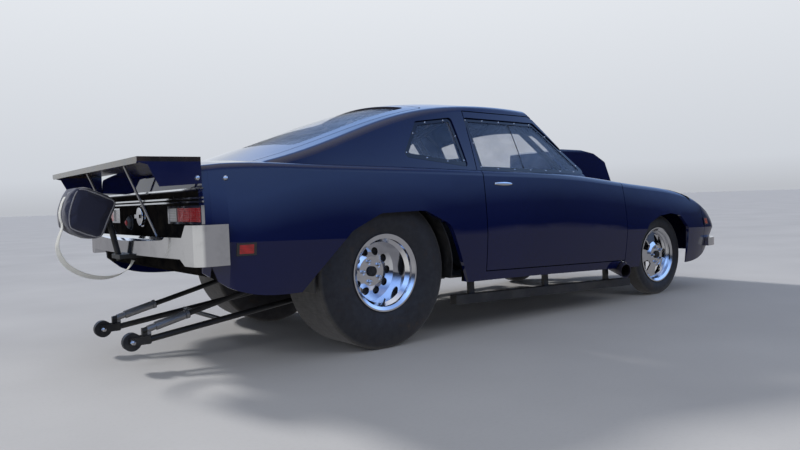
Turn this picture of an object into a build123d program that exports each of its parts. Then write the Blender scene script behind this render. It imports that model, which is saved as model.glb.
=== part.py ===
from build123d import *
import os
from math import cos, hypot, pi, radians, sin, tan

# A fastback coupe set up for straight-line racing, standing on its wheels.
# Millimetres. X is forward, Y is left, Z is up, and the floor is Z 0.
# While modelling, X counts from the rear axle. Every piece is then moved so that
# the origin lies midway along the whole length.

# Driving sizes
WHEELBASE = 2616.0
HALF_WIDTH = 888.0
NOSE_X = 3470.0
TAIL_X = -985.0
RAKE = 0.035
ROCKER_H = 326.0
CREASE_H = 595.0
BELT_H = 965.0
ROOF_H = 1450.0
DOOR_STEP_H = BELT_H - 80.0
PANEL_GAP = 6.0
FIT = 0.3
RUN_CLEAR = 8.0

# Body walls
DOOR_WALL = 78.0
QUARTER_WALL = 30.0
FENDER_WALL = 22.0
PILLAR_WALL = 44.0
ROOF_WALL = 30.0
TOP_WALL = 24.0
HOOD_WALL = 18.0
NOSE_SOLID_X = 3290.0
FIREWALL_X = 2058.0
FIREWALL_T = 20.0
TUNNEL_HALF = 150.0
TUNNEL_H = 520.0
FLOOR_T = 12.0
TUNNEL_REAR_X = 600.0
GLASS_INSET = 9.0
GLASS_T = 5.0
LOWER_BOW = 2.5
UPPER_BOW = 7.0
SHOULDER_R = 42.0
EAVE_R = 75.0
OPEN_BELOW = 90.0

# Panel cut lines, X from the rear axle
DOOR_REAR_X = 688.0
DOOR_FRONT_X = 2052.0
DOOR_SLANT = 14.5
HOOD_REAR_X = 2110.0
HOOD_HALF = 640.0
NOSE_CUT_X = 3180.0
TAIL_CUT_X = -958.0
SILL_H = 382.0
HATCH_FRONT_X = 470.0
HATCH_REAR_X = -800.0
HATCH_HALF = 560.0
HATCH_LEAN = 17.0

# Windshield, a tilted cylinder through the foot of the glass
GLASS_FOOT_X = 2024.0
GLASS_FOOT_H = 985.0
GLASS_LEAN = 40.0
GLASS_BEND_R = 1650.0

# Wheels
REAR_TYRE_R = 405.0
REAR_TYRE_W = 378.0
REAR_TYRE_OUT = 825.0
FRONT_TYRE_R = 302.0
FRONT_TYRE_W = 124.0
FRONT_TYRE_OUT = 765.0
RIM_LIP_R = 206.0
BEAD_R = 190.0
KINGPIN_Y = 622.0
REAR_DISH = 135.0
RIM_WALL = 7.0

# Rear kit
SPAN_HALF = 800.0
WHEELIE_X = -1160.0
WHEELIE_Y = 260.0
WHEELIE_Z = 135.0
WHEELIE_R = 45.0
WHEELIE_W = 34.0
PACK_X = -1288.0
PACK_Z = 776.0
PACK_L = 226.0
PACK_D = 244.0

PACK_LEAN = 24.0
PACK_R = 26.0

PACK_REAR_X = (PACK_X - (PACK_L / 2 - PACK_R) * cos(radians(PACK_LEAN))
               - (PACK_D / 2 - PACK_R) * sin(radians(PACK_LEAN)) - PACK_R)
MID_X = (NOSE_X + PACK_REAR_X) / 2

# Lower body sections. Columns: x, narrower than HALF_WIDTH, bottom above ROCKER_H,
# bottom edge inboard, shoulder below BELT_H, shoulder inboard, crown above shoulder
LOWER_SECTIONS = (
    (TAIL_X, 56, 130, 60, 30, 40, 40),
    (-890, 10, 62, 40, 18, 52, 46),
    (-500, 2, 18, 38, 6, 48, 52),
    (100, 0, 0, 38, 2, 40, 52),
    (900, 0, 0, 38, 0, 36, 52),
    (1600, 2, 0, 38, 8, 38, 46),
    (2150, 6, 0, 38, 44, 44, 34),
    (2660, 14, 0, 38, 76, 52, 30),
    (3050, 42, 12, 40, 136, 56, 26),
    (3320, 96, 96, 46, 214, 52, 20),
    (3430, 136, 176, 46, 258, 46, 14),
    (NOSE_X, 170, 236, 24, 296, 24, 6),
)

# Greenhouse sections. Columns: x, base half width, eave inboard of the base,
# eave below ROOF_H, crown above the eave
ROOF_SECTIONS = (
    (-900, 770, 40, 540, 40),
    (-574, 800, 66, 462, 52),
    (-156, 822, 116, 322, 74),
    (150, 830, 170, 212, 84),
    (460, 834, 205, 128, 86),
    (760, 836, 226, 80, 74),
    (1150, 836, 240, 56, 56),
    (1500, 834, 250, 68, 54),
    (2120, 826, 262, 130, 50),
)


def lift(x, h):
    """Height over the floor of a body height h at x, because the body sits nose down."""
    return h - RAKE * x


def bowed(a, b, bow):
    """Arc from a to b in a section, with its middle bow to the right of the way along."""
    dy, dz = b[0] - a[0], b[1] - a[1]
    run = hypot(dy, dz)
    mid = ((a[0] + b[0]) / 2 + bow * dz / run, (a[1] + b[1]) / 2 - bow * dy / run)
    return ThreePointArc(a, mid, b)


def mirrored(y_z):
    return (-y_z[0], y_z[1])


def lower_section(row, side, top, low):
    """Section of the lower body, drawn in by side and top, its bottom moved down by low."""
    x, narrow, rise, tuck, drop, inset, crown = row
    half = HALF_WIDTH - narrow - side
    foot = (half - tuck, lift(x, ROCKER_H + rise - low))
    crease = (half, lift(x, CREASE_H))
    shoulder = (half - inset, lift(x, BELT_H - drop - top))
    peak = (0, shoulder[1] + crown)
    rim = [
        Line(mirrored(foot), foot),
        bowed(foot, crease, LOWER_BOW),
        bowed(crease, shoulder, UPPER_BOW),
        ThreePointArc(shoulder, peak, mirrored(shoulder)),
        bowed(mirrored(shoulder), mirrored(crease), UPPER_BOW),
        bowed(mirrored(crease), mirrored(foot), LOWER_BOW),
    ]
    face = make_face(rim)
    corners = [v for v in face.vertices() if abs(v.Y - shoulder[1]) < 1]
    radius = min(SHOULDER_R - min(top, 12), 0.45 * (shoulder[1] - crease[1]))
    return Plane.YZ.offset(x) * fillet(corners, radius)


def lower_hull(side=0.0, top=0.0, low=0.0, rows=LOWER_SECTIONS):
    return loft([lower_section(row, side, top, low) for row in rows])


def flank_y(hull, x, z):
    """Half width of the hull at x and z."""
    return max(abs(point.Y) for point, _ in hull.find_intersection_points(Axis((x, -1200, z), (0, 1, 0))))


def roof_section(row, side, top, foot_h):
    x, base, lean, drop, crown = row
    foot = (base - side, lift(x, foot_h))
    eave = (base - lean - side, lift(x, ROOF_H - drop - top))
    peak = (0, eave[1] + crown)
    bow = 0.02 * (eave[1] - foot[1])
    rim = [
        Line(mirrored(foot), foot),
        bowed(foot, eave, bow),
        ThreePointArc(eave, peak, mirrored(eave)),
        bowed(mirrored(eave), mirrored(foot), bow),
    ]
    face = make_face(rim)
    corners = [v for v in face.vertices() if abs(v.Y - eave[1]) < 1]
    radius = min(EAVE_R - min(side, 30), 0.4 * (eave[1] - foot[1]))
    return Plane.YZ.offset(x) * fillet(corners, radius)


def roof_hull(side=0.0, top=0.0, foot_h=BELT_H - 130.0):
    return loft([roof_section(row, side, top, foot_h) for row in ROOF_SECTIONS])


def behind_windshield(inset=0.0):
    """All that lies behind the bent plane of the windshield, drawn in by inset."""
    radius = GLASS_BEND_R - inset
    foot = Vector(GLASS_FOOT_X, 0, lift(GLASS_FOOT_X, GLASS_FOOT_H))
    lean = radians(GLASS_LEAN)
    inward = Vector(-sin(lean), 0, -cos(lean))
    up_slope = Vector(-cos(lean), 0, sin(lean))
    base = Plane(foot + inward * GLASS_BEND_R, x_dir=(0, 1, 0), z_dir=up_slope)
    return extrude(base * Circle(radius), 3200, both=True)


def side_prism(outline, y_from, y_to, radius=0.0):
    """Outline of x and body height, drawn through from one y to the other."""
    flat = Polygon(*[(x, lift(x, h)) for x, h in outline], align=None)
    if radius:
        flat = fillet(flat.vertices(), radius)
    plane = Plane((0, y_from, 0), x_dir=(1, 0, 0), z_dir=(0, -1, 0))
    return extrude(plane * flat, y_to - y_from, dir=(0, 1, 0))


def slab(x0, x1, y0, y1, z0, z1):
    return Pos((x0 + x1) / 2, (y0 + y1) / 2, (z0 + z1) / 2) * Box(x1 - x0, y1 - y0, z1 - z0)


def both_sides(piece):
    return [piece, mirror(piece, Plane.XZ)]


def drum(x, y0, y1, z, radius):
    """Solid cylinder across the car."""
    return Pos(x, (y0 + y1) / 2, z) * Rot(90, 0, 0) * Cylinder(radius, y1 - y0)


def rod(a, b, diameter):
    a, b = Vector(*a), Vector(*b)
    return extrude(Plane(a, z_dir=b - a) * Circle(diameter / 2), (b - a).length)


def bent_tube(points, diameter, radii):
    path = FilletPolyline(*points, radius=radii)
    start = Plane(path @ 0, z_dir=path % 0)
    return sweep(start * Circle(diameter / 2), path=path)


def spun(profile):
    """Closed profile of radius and y, turned about the Y axis through the origin."""
    flat = Plane.XY * make_face(Polyline(*profile, close=True))
    return revolve(flat, Axis.Y)


# Body, made once and then cut into its panels

# Pieces let into the nose. Columns: y, z, deep, wide, tall
NOSE_BOXES = (
    (-560, 505, 24, 156, 84),
    (560, 505, 24, 156, 84),
    (0, 505, 20, 800, 74),
)

OUTLINES = {
    "door_low": ((DOOR_REAR_X - 20, SILL_H), (DOOR_REAR_X - 20, BELT_H + 12), (DOOR_FRONT_X, BELT_H + 12),
                 (DOOR_FRONT_X, SILL_H)),
    "door_high": ((DOOR_REAR_X - 20, DOOR_STEP_H), (DOOR_REAR_X - 20, 1337), (1350, 1352), (1420, 1326),
                  (1862, BELT_H + 8), (1862, DOOR_STEP_H)),
    "door_glass": ((744, 968), (744, 1300), (1380, 1312), (1775, 975)),
    "quarter_glass": ((186, 1030), (352, 1246), (640, 1292), (652, 988)),
}


def door_wedge(ease):
    """All in front of the right door's slanted rear face, moved back by ease."""
    slope = tan(radians(DOOR_SLANT))
    x = DOOR_REAR_X - ease
    flat = Polygon((x - 72 * slope, -960), (3000, -960), (3000, -460), (x + 428 * slope, -460), align=None)
    return extrude(flat, 1600, dir=(0, 0, 1))


def windshield_prism(half_top, half_foot, up_from, up_to):
    lean = radians(GLASS_LEAN)
    foot = Vector(GLASS_FOOT_X, 0, lift(GLASS_FOOT_X, GLASS_FOOT_H))
    plane = Plane(foot, x_dir=(0, 1, 0), z_dir=(-sin(lean), 0, -cos(lean)))
    shape = Polygon((-half_foot, -up_from), (half_foot, -up_from), (half_top, -up_to),
                    (-half_top, -up_to), align=None)
    shape = fillet(shape.vertices(), 45)
    return extrude(plane * shape, 420, both=True)


def hatch_plane():
    """Plane on the fastback at the hatch's front edge, its X down the slope."""
    lean = radians(HATCH_LEAN)
    origin = Vector(HATCH_FRONT_X, 0, lift(HATCH_FRONT_X, ROOF_H - 40))
    return Plane(origin, x_dir=(-cos(lean), 0, -sin(lean)), z_dir=(-sin(lean), 0, cos(lean)))


def hatch_prism(ease):
    slope = (HATCH_FRONT_X - HATCH_REAR_X) / cos(radians(HATCH_LEAN))
    half = HATCH_HALF + ease
    tail_half = half + 70
    shape = Polygon((-ease, -half), (slope + ease, -tail_half), (slope + ease, tail_half),
                    (-ease, half), align=None)
    shape = fillet(shape.vertices(), 40)
    return extrude(hatch_plane() * shape, 250, both=True)


def hatch_window_prism():
    shape = Polygon((60, -490), (900, -540), (900, 540), (60, 490), align=None)
    shape = fillet(shape.vertices(), 60)
    return extrude(hatch_plane() * shape, 250, both=True)


def arch_prism(outline, radius, y_from):
    flat = Polygon(*outline, align=None)
    flat = fillet(flat.vertices(), radius)
    plane = Plane((0, -y_from, 0), x_dir=(1, 0, 0), z_dir=(0, -1, 0))
    one = extrude(plane * flat, HALF_WIDTH + 60 - y_from, dir=(0, -1, 0))
    return both_sides(one)


REAR_ARCH = ((-560, 150), (-560, 330), (-245, 640), (-60, 722), (230, 726), (405, 640), (560, 290),
             (560, 150))
FRONT_ARCH = ((2240, 120), (2240, 440), (2330, 552), (2480, 604), (2640, 616), (2775, 592), (2872, 500),
              (2888, 380), (2888, 120))


def make_shell():
    tail = loft([lower_section(row, 0, 0, 0) for row in LOWER_SECTIONS[:2]])
    corner_x = LOWER_SECTIONS[1][0]
    outside = (lower_hull() & slab(corner_x, 3600, -960, 960, 0, 1500)) + tail
    outside = outside + (roof_hull() & behind_windshield())
    back = lower_hull(QUARTER_WALL, TOP_WALL, OPEN_BELOW) & slab(TAIL_CUT_X, 560, -900, 900, 0, 1500)
    cabin = lower_hull(DOOR_WALL, TOP_WALL, OPEN_BELOW) & slab(530, FIREWALL_X, -900, 900, 0, 1500)
    front_rows = [row for row in LOWER_SECTIONS if row[0] < 3400]
    bay = lower_hull(FENDER_WALL, HOOD_WALL, OPEN_BELOW, front_rows)
    bay = bay & slab(FIREWALL_X + FIREWALL_T, NOSE_SOLID_X, -900, 900, 0, 1500)
    upper = roof_hull(PILLAR_WALL, ROOF_WALL, BELT_H - 180.0) & behind_windshield(ROOF_WALL)
    upper = upper & slab(-1000, FIREWALL_X, -900, 900, 600, 1600)
    shell = outside - upper - cabin - back - bay
    wells = arch_prism(REAR_ARCH, 90, 300) + arch_prism(FRONT_ARCH, 50, 300)
    for well in wells:
        shell = shell - well
    half = TUNNEL_HALF - FLOOR_T
    shell = shell - side_prism(((FIREWALL_X - 20, 200), (FIREWALL_X - 20, TUNNEL_H - FLOOR_T),
                                (FIREWALL_X + 60, TUNNEL_H - FLOOR_T), (FIREWALL_X + 60, 200)), -half, half)
    return shell


def glass_skin():
    outer = roof_hull(GLASS_INSET, GLASS_INSET)
    inner = roof_hull(GLASS_INSET + GLASS_T, GLASS_INSET + GLASS_T)
    return outer - inner


def cut_body():
    """The hollow body cut into panels along the real gaps."""
    shell = make_shell()
    panels = {}
    shell = shell - windshield_prism(520, 690, 40, 560)
    for cut in both_sides(pipe_cut()):
        shell = shell - cut
    for name in ("door_glass", "quarter_glass"):
        shell = shell - side_prism(OUTLINES[name], -900, 900, 22)
    door_zone = [
        side_prism(OUTLINES["door_low"], -960, -792),
        side_prism(OUTLINES["door_high"], -960, -480),
    ]
    right_zone = (door_zone[0] + door_zone[1]) & door_wedge(0)
    panels["door_right"] = shell & right_zone
    panels["door_left"] = mirror(panels["door_right"], Plane.XZ)
    gap = PANEL_GAP
    rear, front = DOOR_REAR_X - 20, DOOR_FRONT_X + gap
    grown_low = side_prism(((rear, SILL_H - gap), (rear, BELT_H + 20), (front, BELT_H + 20),
                            (front, SILL_H - gap)), -960, -792 + gap)
    high = OUTLINES["door_high"]
    grown_high = side_prism(((rear, DOOR_STEP_H - gap), (rear, high[1][1] + gap), (1352, 1352 + gap),
                             (1424, 1326 + gap), (1872, BELT_H + 8), (1872, DOOR_STEP_H - gap)), -960, -480)
    grown_low = grown_low & door_wedge(gap)
    grown_high = grown_high & door_wedge(gap)
    for grown in both_sides(grown_low) + both_sides(grown_high):
        shell = shell - grown
    panels["tail_panel"] = shell & slab(-1100, TAIL_CUT_X, -900, 900, 0, 1500)
    nose = shell & slab(NOSE_CUT_X, 3600, -900, 900, 0, 1500)
    for y, z, deep, wide, tall in NOSE_BOXES:
        nose = nose - nose_box(y, z, deep, wide, tall, FIT)
    panels["nose_panel"] = nose
    shell = shell & slab(TAIL_CUT_X + FIT, NOSE_CUT_X - gap, -960, 960, 0, 1600)
    hood_zone = slab(HOOD_REAR_X, 3600, -HOOD_HALF, HOOD_HALF, 500, 1300)
    over_cowl = lower_hull(0, -PANEL_GAP) & slab(2000, HOOD_REAR_X, -400, 400, 600, 1300)
    panels["hood"] = (shell & hood_zone) + (hood_scoop() - lower_hull(0, TOP_WALL / 2) - over_cowl)
    grown = slab(HOOD_REAR_X - gap, 3600, -HOOD_HALF - gap, HOOD_HALF + gap, 500, 1300)
    shell = shell - grown
    side = slab(DOOR_FRONT_X + gap, 3600, -960, -HOOD_HALF - gap, 0, 1300)
    panels["fenders"] = Compound(children=both_sides(shell & side))
    for part in both_sides(side):
        shell = shell - part
    panels["hatch"] = shell & hatch_prism(0)
    panels["body_shell"] = shell - hatch_prism(gap)
    panels["hatch"] = panels["hatch"] - hatch_window_prism()
    return panels


def glazing():
    skin = glass_skin()
    door = skin & side_prism(OUTLINES["door_glass"], -900, 0, 22)
    quarter = skin & side_prism(OUTLINES["quarter_glass"], -900, 0, 22)
    bent = behind_windshield(GLASS_INSET) - behind_windshield(GLASS_INSET + GLASS_T)
    front = bent & windshield_prism(520, 690, 40, 560) & slab(1200, 2100, -900, 900, 800, 1500)
    return {
        "door_glass_right": door,
        "door_glass_left": mirror(door, Plane.XZ),
        "hatch_glass": skin & hatch_window_prism() & slab(-900, 500, -900, 900, 900, 1600),
        "fixed_glass": Compound(children=both_sides(quarter) + [front]),
    }


# Floor and tubs

FLOOR_H = 346.0
TUB_CLEAR = 35.0
TUB_T = 6.0
TUB_SIDE_Y = 430.0
HUMP_H = 600.0
KICK_X = 884.0
TRUNK_H = 490.0


def floor_pan():
    fill = lower_hull(DOOR_WALL + FIT, TOP_WALL + FIT, OPEN_BELOW)
    top = FLOOR_H + FLOOR_T
    end = FIREWALL_X - FIT
    main = side_prism(((470, FLOOR_H), (470, top), (end, top), (end, FLOOR_H)), -900, 900)
    main = main & fill
    main = main - slab(400, KICK_X - 4, -TUB_SIDE_Y + TUB_T, TUB_SIDE_Y - TUB_T, 200, 700)
    hump = side_prism(((TAIL_CUT_X + 4, TRUNK_H), (TAIL_CUT_X + 4, TRUNK_H + FLOOR_T),
                       (-480, TRUNK_H + FLOOR_T), (-420, HUMP_H), (520, HUMP_H), (KICK_X, top),
                       (KICK_X + 10, FLOOR_H), (KICK_X - 10, FLOOR_H), (512, HUMP_H - FLOOR_T),
                       (-412, HUMP_H - FLOOR_T), (-474, TRUNK_H)), -TUB_SIDE_Y, TUB_SIDE_Y)
    cheek = side_prism(((440, FLOOR_H), (440, HUMP_H), (520, HUMP_H), (KICK_X, top), (KICK_X, FLOOR_H)),
                       TUB_SIDE_Y - TUB_T, TUB_SIDE_Y)
    inside = REAR_TYRE_R + TUB_CLEAR
    tub = drum(0, TUB_SIDE_Y, 846, REAR_TYRE_R, inside + TUB_T)
    tub = tub - drum(0, TUB_SIDE_Y + TUB_T, 900, REAR_TYRE_R, inside)
    tub = tub & slab(-500, 500, 0, 900, 345, 900)
    tub = tub & lower_hull(QUARTER_WALL + 4, TOP_WALL + FIT, OPEN_BELOW)
    floor = main + hump
    for piece in both_sides(cheek) + both_sides(tub):
        floor = floor + piece
    tunnel = side_prism(((TUNNEL_REAR_X, HUMP_H - 90), (TUNNEL_REAR_X, TUNNEL_H), (end, TUNNEL_H),
                         (end, FLOOR_H), (KICK_X - 30, FLOOR_H)), -TUNNEL_HALF, TUNNEL_HALF)
    bore = side_prism(((TUNNEL_REAR_X - 10, FLOOR_H - 60), (TUNNEL_REAR_X - 10, TUNNEL_H - FLOOR_T),
                       (FIREWALL_X + 60, TUNNEL_H - FLOOR_T), (FIREWALL_X + 60, FLOOR_H - 60)),
                      -TUNNEL_HALF + FLOOR_T, TUNNEL_HALF - FLOOR_T)
    floor = floor + tunnel - bore
    for cut in both_sides(pipe_cut()) + both_sides(slab(-70, 70, TUB_SIDE_Y - 20, TUB_SIDE_Y + 20, 330, 480)):
        floor = floor - cut
    return floor


# Wheels. A profile's columns: radius, y outward from the inner rim edge

def tyre_ring(radius, width, out_y, tread_in, rim_in, rim_out):
    """Tyre about the Y axis with its outer face at y = out_y, its beads between the rim's lips."""
    inner = out_y - width
    shoulder = radius - 14
    edge = out_y - tread_in
    back = inner + tread_in
    seat, flank = BEAD_R + FIT, RIM_LIP_R + 2
    bead_in, bead_out = rim_in + RIM_WALL + 2 + FIT, rim_out - RIM_WALL - 2 - FIT
    rim = [
        Line((flank, bead_in), (seat, bead_in)),
        Line((seat, bead_in), (seat, bead_out)),
        Line((seat, bead_out), (flank, bead_out)),
        ThreePointArc((flank, bead_out), (0.5 * (flank + shoulder), out_y), (shoulder, edge + 4)),
        ThreePointArc((shoulder, edge + 4), (radius - 5, edge - 2), (radius, edge - 16)),
        Line((radius, edge - 16), (radius, back + 16)),
        ThreePointArc((radius, back + 16), (radius - 5, back + 2), (shoulder, back - 4)),
        ThreePointArc((shoulder, back - 4), (0.5 * (flank + shoulder), inner), (flank, bead_in)),
    ]
    return revolve(make_face(rim), Axis.Y)


def rim_barrel(inner_y, outer_y, wall=RIM_WALL):
    """Drop-centre rim between its two lips, open inside."""
    lip, bead, drop = RIM_LIP_R, BEAD_R, BEAD_R - 20
    low, high = inner_y, outer_y
    return spun((
        (lip, low), (lip, low + wall), (bead, low + wall + 2), (bead, low + 30), (drop, low + 48),
        (drop, high - 48), (bead, high - 30), (bead, high - wall - 2), (lip, high - wall), (lip, high),
        (lip - 8, high), (bead - 9, high - 10), (bead - 9, high - 30), (drop - wall, high - 48),
        (drop - wall, low + 48), (bead - 9, low + 30), (bead - 9, low + 10), (lip - 8, low),
    ))


def rim_face(y, thick, radius, bore, pad_r, dish):
    """Disc across the barrel, with a raised hub pad and its rim set in by dish."""
    step = pad_r + 26
    disc = spun((
        (bore, y), (pad_r, y), (step, y - dish * 0.55), (radius, y - dish),
        (radius, y - dish - thick), (step, y - dish * 0.55 - thick), (pad_r, y - thick), (bore, y - thick),
    ))
    for k in range(5):
        turn = 2 * pi * (k + 0.5) / 5
        stud = Pos(LUG_CIRCLE_R * cos(turn), y, LUG_CIRCLE_R * sin(turn)) * Rot(90, 0, 0)
        disc = disc - stud * Cylinder(17, 8)
    return disc


def round_windows(y, count, circle_r, window_d):
    """Round holes about the wheel's axis."""
    holes = []
    for k in range(count):
        turn = 2 * pi * k / count
        place = Pos(circle_r * cos(turn), y, circle_r * sin(turn)) * Rot(90, 0, 0)
        holes.append(place * Cylinder(window_d / 2, 80))
    return holes


def slot_windows(y, count, low_r, high_r, half_low, half_high, radius):
    """Windows that widen outward, with rounded corners."""
    shape = Polygon((low_r, -half_low), (high_r, -half_high), (high_r, half_high), (low_r, half_low),
                    align=None)
    shape = fillet(shape.vertices(), radius)
    one = extrude(Plane((0, y - 40, 0), x_dir=(1, 0, 0), z_dir=(0, 1, 0)) * shape, 80, dir=(0, 1, 0))
    return [Rot(0, 360 * k / count, 0) * one for k in range(count)]


HUB_BORE = 28.0
LUG_CIRCLE_R = 57.15
REAR_RIM_OUT = 815.0
REAR_RIM_IN = REAR_TYRE_OUT - REAR_TYRE_W + 10
REAR_FACE_Y = REAR_RIM_OUT - REAR_DISH
FRONT_RIM_OUT = 757.0
FRONT_RIM_IN = FRONT_TYRE_OUT - FRONT_TYRE_W + 8
FRONT_FACE_Y = FRONT_RIM_OUT - 14


def wheels():
    rear_tyre = tyre_ring(REAR_TYRE_R, REAR_TYRE_W, REAR_TYRE_OUT, 22, REAR_RIM_IN, REAR_RIM_OUT)
    rear_face = rim_face(REAR_FACE_Y, 12, BEAD_R - 22, HUB_BORE, 80, 22)
    for hole in round_windows(REAR_FACE_Y, 10, 112, 44):
        rear_face = rear_face - hole
    rear_rim = rim_barrel(REAR_RIM_IN, REAR_RIM_OUT) + rear_face
    front_tyre = tyre_ring(FRONT_TYRE_R, FRONT_TYRE_W, FRONT_TYRE_OUT, 14, FRONT_RIM_IN, FRONT_RIM_OUT)
    front_face = rim_face(FRONT_FACE_Y, 12, BEAD_R - 6, HUB_BORE, 74, 26)
    for hole in slot_windows(FRONT_FACE_Y, 5, 90, 152, 24, 46, 14):
        front_face = front_face - hole
    front_rim = rim_barrel(FRONT_RIM_IN, FRONT_RIM_OUT) + front_face
    made = {}
    for name, piece, x, z in (
        ("rear_tyre", rear_tyre, 0, REAR_TYRE_R),
        ("rear_rim", rear_rim, 0, REAR_TYRE_R),
        ("front_tyre", front_tyre, WHEELBASE, FRONT_TYRE_R),
        ("front_rim", front_rim, WHEELBASE, FRONT_TYRE_R),
    ):
        made[name + "_left"] = Pos(x, 0, z) * piece
        made[name + "_right"] = mirror(made[name + "_left"], Plane.XZ)
    return made


# Running gear

SHAFT_R = HUB_BORE - FIT
AXLE_TUBE_D = 84.0
DRUM_R = 128.0
ARM_PIN_LOW_Z = 205.0
ARM_PIN_HIGH_Z = 425.0
BAR_Y = 330.0
PLATE_REAR_X = -90.0
PLATE_T = 10.0


def rear_axle():
    z = REAR_TYRE_R
    axle = drum(0, -600, 600, z, AXLE_TUBE_D / 2)
    axle = axle + drum(0, -105, 105, z, 150) + slab(0, 170, -70, 70, z - 60, z + 60)
    for y0, y1 in ((600, 652), (-652, -600)):
        axle = axle + drum(0, y0, y1, z, DRUM_R)
    axle = axle + drum(0, -REAR_FACE_Y - 12, REAR_FACE_Y + 12, z, SHAFT_R)
    for y in (WHEELIE_Y, BAR_Y):
        plate = slab(PLATE_REAR_X, -PLATE_REAR_X, y - PLATE_T / 2, y + PLATE_T / 2, z - 150, z + 110)
        axle = axle + plate + mirror(plate, Plane.XZ)
    return axle


def ladder_bars():
    front = (820, BAR_Y, 280)
    z = REAR_TYRE_R
    bar = rod((96, BAR_Y, z + 80), front, 38) + rod((96, BAR_Y, z - 110), front, 38)
    bar = bar + rod((420, BAR_Y, 292), (420, BAR_Y, 392), 28)
    return Compound(children=both_sides(bar))


def knuckle():
    y, x = KINGPIN_Y, WHEELBASE
    body = slab(x - 22, x + 22, y - 18, y + 14, ARM_PIN_LOW_Z, ARM_PIN_HIGH_Z)
    body = body + drum(x, y, FRONT_RIM_IN + 18, FRONT_TYRE_R, 58)
    return body + drum(x, y, FRONT_FACE_Y + 10, FRONT_TYRE_R, SHAFT_R)


def front_arms():
    x, y = WHEELBASE, KINGPIN_Y
    made = []
    for z0, z1, root_y, spread in (
        (ARM_PIN_LOW_Z - FIT - 22, ARM_PIN_LOW_Z - FIT, 340, 120),
        (ARM_PIN_HIGH_Z + FIT, ARM_PIN_HIGH_Z + FIT + 20, 400, 90),
    ):
        flat = Polygon((x - 24, y + 12), (x + 24, y + 12), (x + spread, root_y), (x - spread, root_y),
                       align=None)
        made.append(extrude(Pos(0, 0, z0) * flat, z1 - z0, dir=(0, 0, 1)))
    return made


def crossmember():
    x = WHEELBASE
    low = ARM_PIN_LOW_Z - FIT - 22
    beam = slab(x - 130, x + 130, -340 + FIT, 340 - FIT, low - 10, low + 60)
    towers = []
    for side in (-1, 1):
        towers.append(slab(x - 95, x + 95, *sorted((side * 300, side * (400 - FIT))), low + 60, 470))
    rails = []
    for side in (-1, 1):
        rails.append(slab(FIREWALL_X + FIREWALL_T + FIT, NOSE_SOLID_X - FIT,
                          *sorted((side * 300, side * 360)), 330, 400))
    return beam + towers[0] + towers[1] + rails[0] + rails[1]


# Rear kit: bumper, lamps, spoiler, parachute and wheelie bars

BUMPER_END_Z0 = 526.0
BUMPER_END_Z1 = 708.0
BUMPER_Z0 = 556.0
BUMPER_Z1 = 652.0
BUMPER_STEP_Z = 638.0
BUMPER_REACH = 1100.0
WRAP_X = -905.0
LAMP_Z0 = 720.0
LAMP_Z1 = 784.0
LAMP_IN_Y = 410.0
LAMP_SPLIT_Y = 528.0
LAMP_OUT_Y = 816.0
BEZEL = 10.0
BLADE_Z = 996.0
BLADE_T = 12.0
BLADE_X = -1262.0
LIP_H = 16.0
END_PLATE_T = 8.0


def rear_bumper():
    """Stepped bumper with taller ends that wrap round the tail's corners."""
    back = TAIL_X - FIT
    rim = [
        Line((back, -842), (back, 842)),
        Line((back, 842), (WRAP_X, 881)),
        Line((WRAP_X, 881), (WRAP_X, 893)),
        Line((WRAP_X, 893), (-988, 888)),
        ThreePointArc((-988, 888), (-1030, 872), (-1050, 840)),
        ThreePointArc((-1050, 840), (-BUMPER_REACH, 0), (-1050, -840)),
        ThreePointArc((-1050, -840), (-1030, -872), (-988, -888)),
        Line((-988, -888), (WRAP_X, -893)),
        Line((WRAP_X, -893), (WRAP_X, -881)),
        Line((WRAP_X, -881), (back, -842)),
    ]
    plan = extrude(Pos(0, 0, 500) * make_face(rim), 240, dir=(0, 0, 1))
    half = [(0, BUMPER_Z0), (712, BUMPER_Z0), (758, BUMPER_END_Z0), (900, BUMPER_END_Z0),
            (900, BUMPER_END_Z1), (772, BUMPER_END_Z1), (734, BUMPER_Z1), (0, BUMPER_Z1)]
    front_view = Polygon(*(half[1:-1] + [(-y, z) for y, z in half[-2:0:-1]]), align=None)
    front_view = fillet(front_view.vertices(), 9)
    bar = plan & extrude(Plane.YZ.offset(-1200) * front_view, 400)
    side_view = Polygon((-880, 500), (-1082, 500), (-BUMPER_REACH - 2, 570), (-BUMPER_REACH - 2, 624),
                        (-1080, BUMPER_STEP_Z), (-1066, 720), (-880, 720), align=None)
    side_view = fillet(side_view.vertices(), 6)
    plane = Plane((0, -950, 0), x_dir=(1, 0, 0), z_dir=(0, -1, 0))
    return bar & extrude(plane * side_view, 1900, dir=(0, 1, 0))


def lamp_block(depth, y0, y1, ease=0.0):
    """Block on the tail's right lamp, from its face back by depth, grown by ease."""
    return slab(TAIL_X - depth, TAIL_X - FIT, -y1 - ease, -y0 + ease, LAMP_Z0 - ease, LAMP_Z1 + ease)


def tail_lamps():
    """Reversing lens and ribbed red lens on each side."""
    clear = lamp_block(8, LAMP_IN_Y, LAMP_SPLIT_Y - BEZEL)
    red = lamp_block(11, LAMP_SPLIT_Y, LAMP_OUT_Y)
    for k in range(1, 4):
        y = LAMP_SPLIT_Y + k * (LAMP_OUT_Y - LAMP_SPLIT_Y) / 4
        red = red - slab(TAIL_X - 20, TAIL_X - 7, -y - 2, -y + 2, LAMP_Z0 - 5, LAMP_Z1 + 5)
    return Compound(children=both_sides(clear) + both_sides(red))


CAP_R = 50.0
CAP_Z = 748.0
MOULDINGS_Z = (811.0, 828.0, 870.0)


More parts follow.
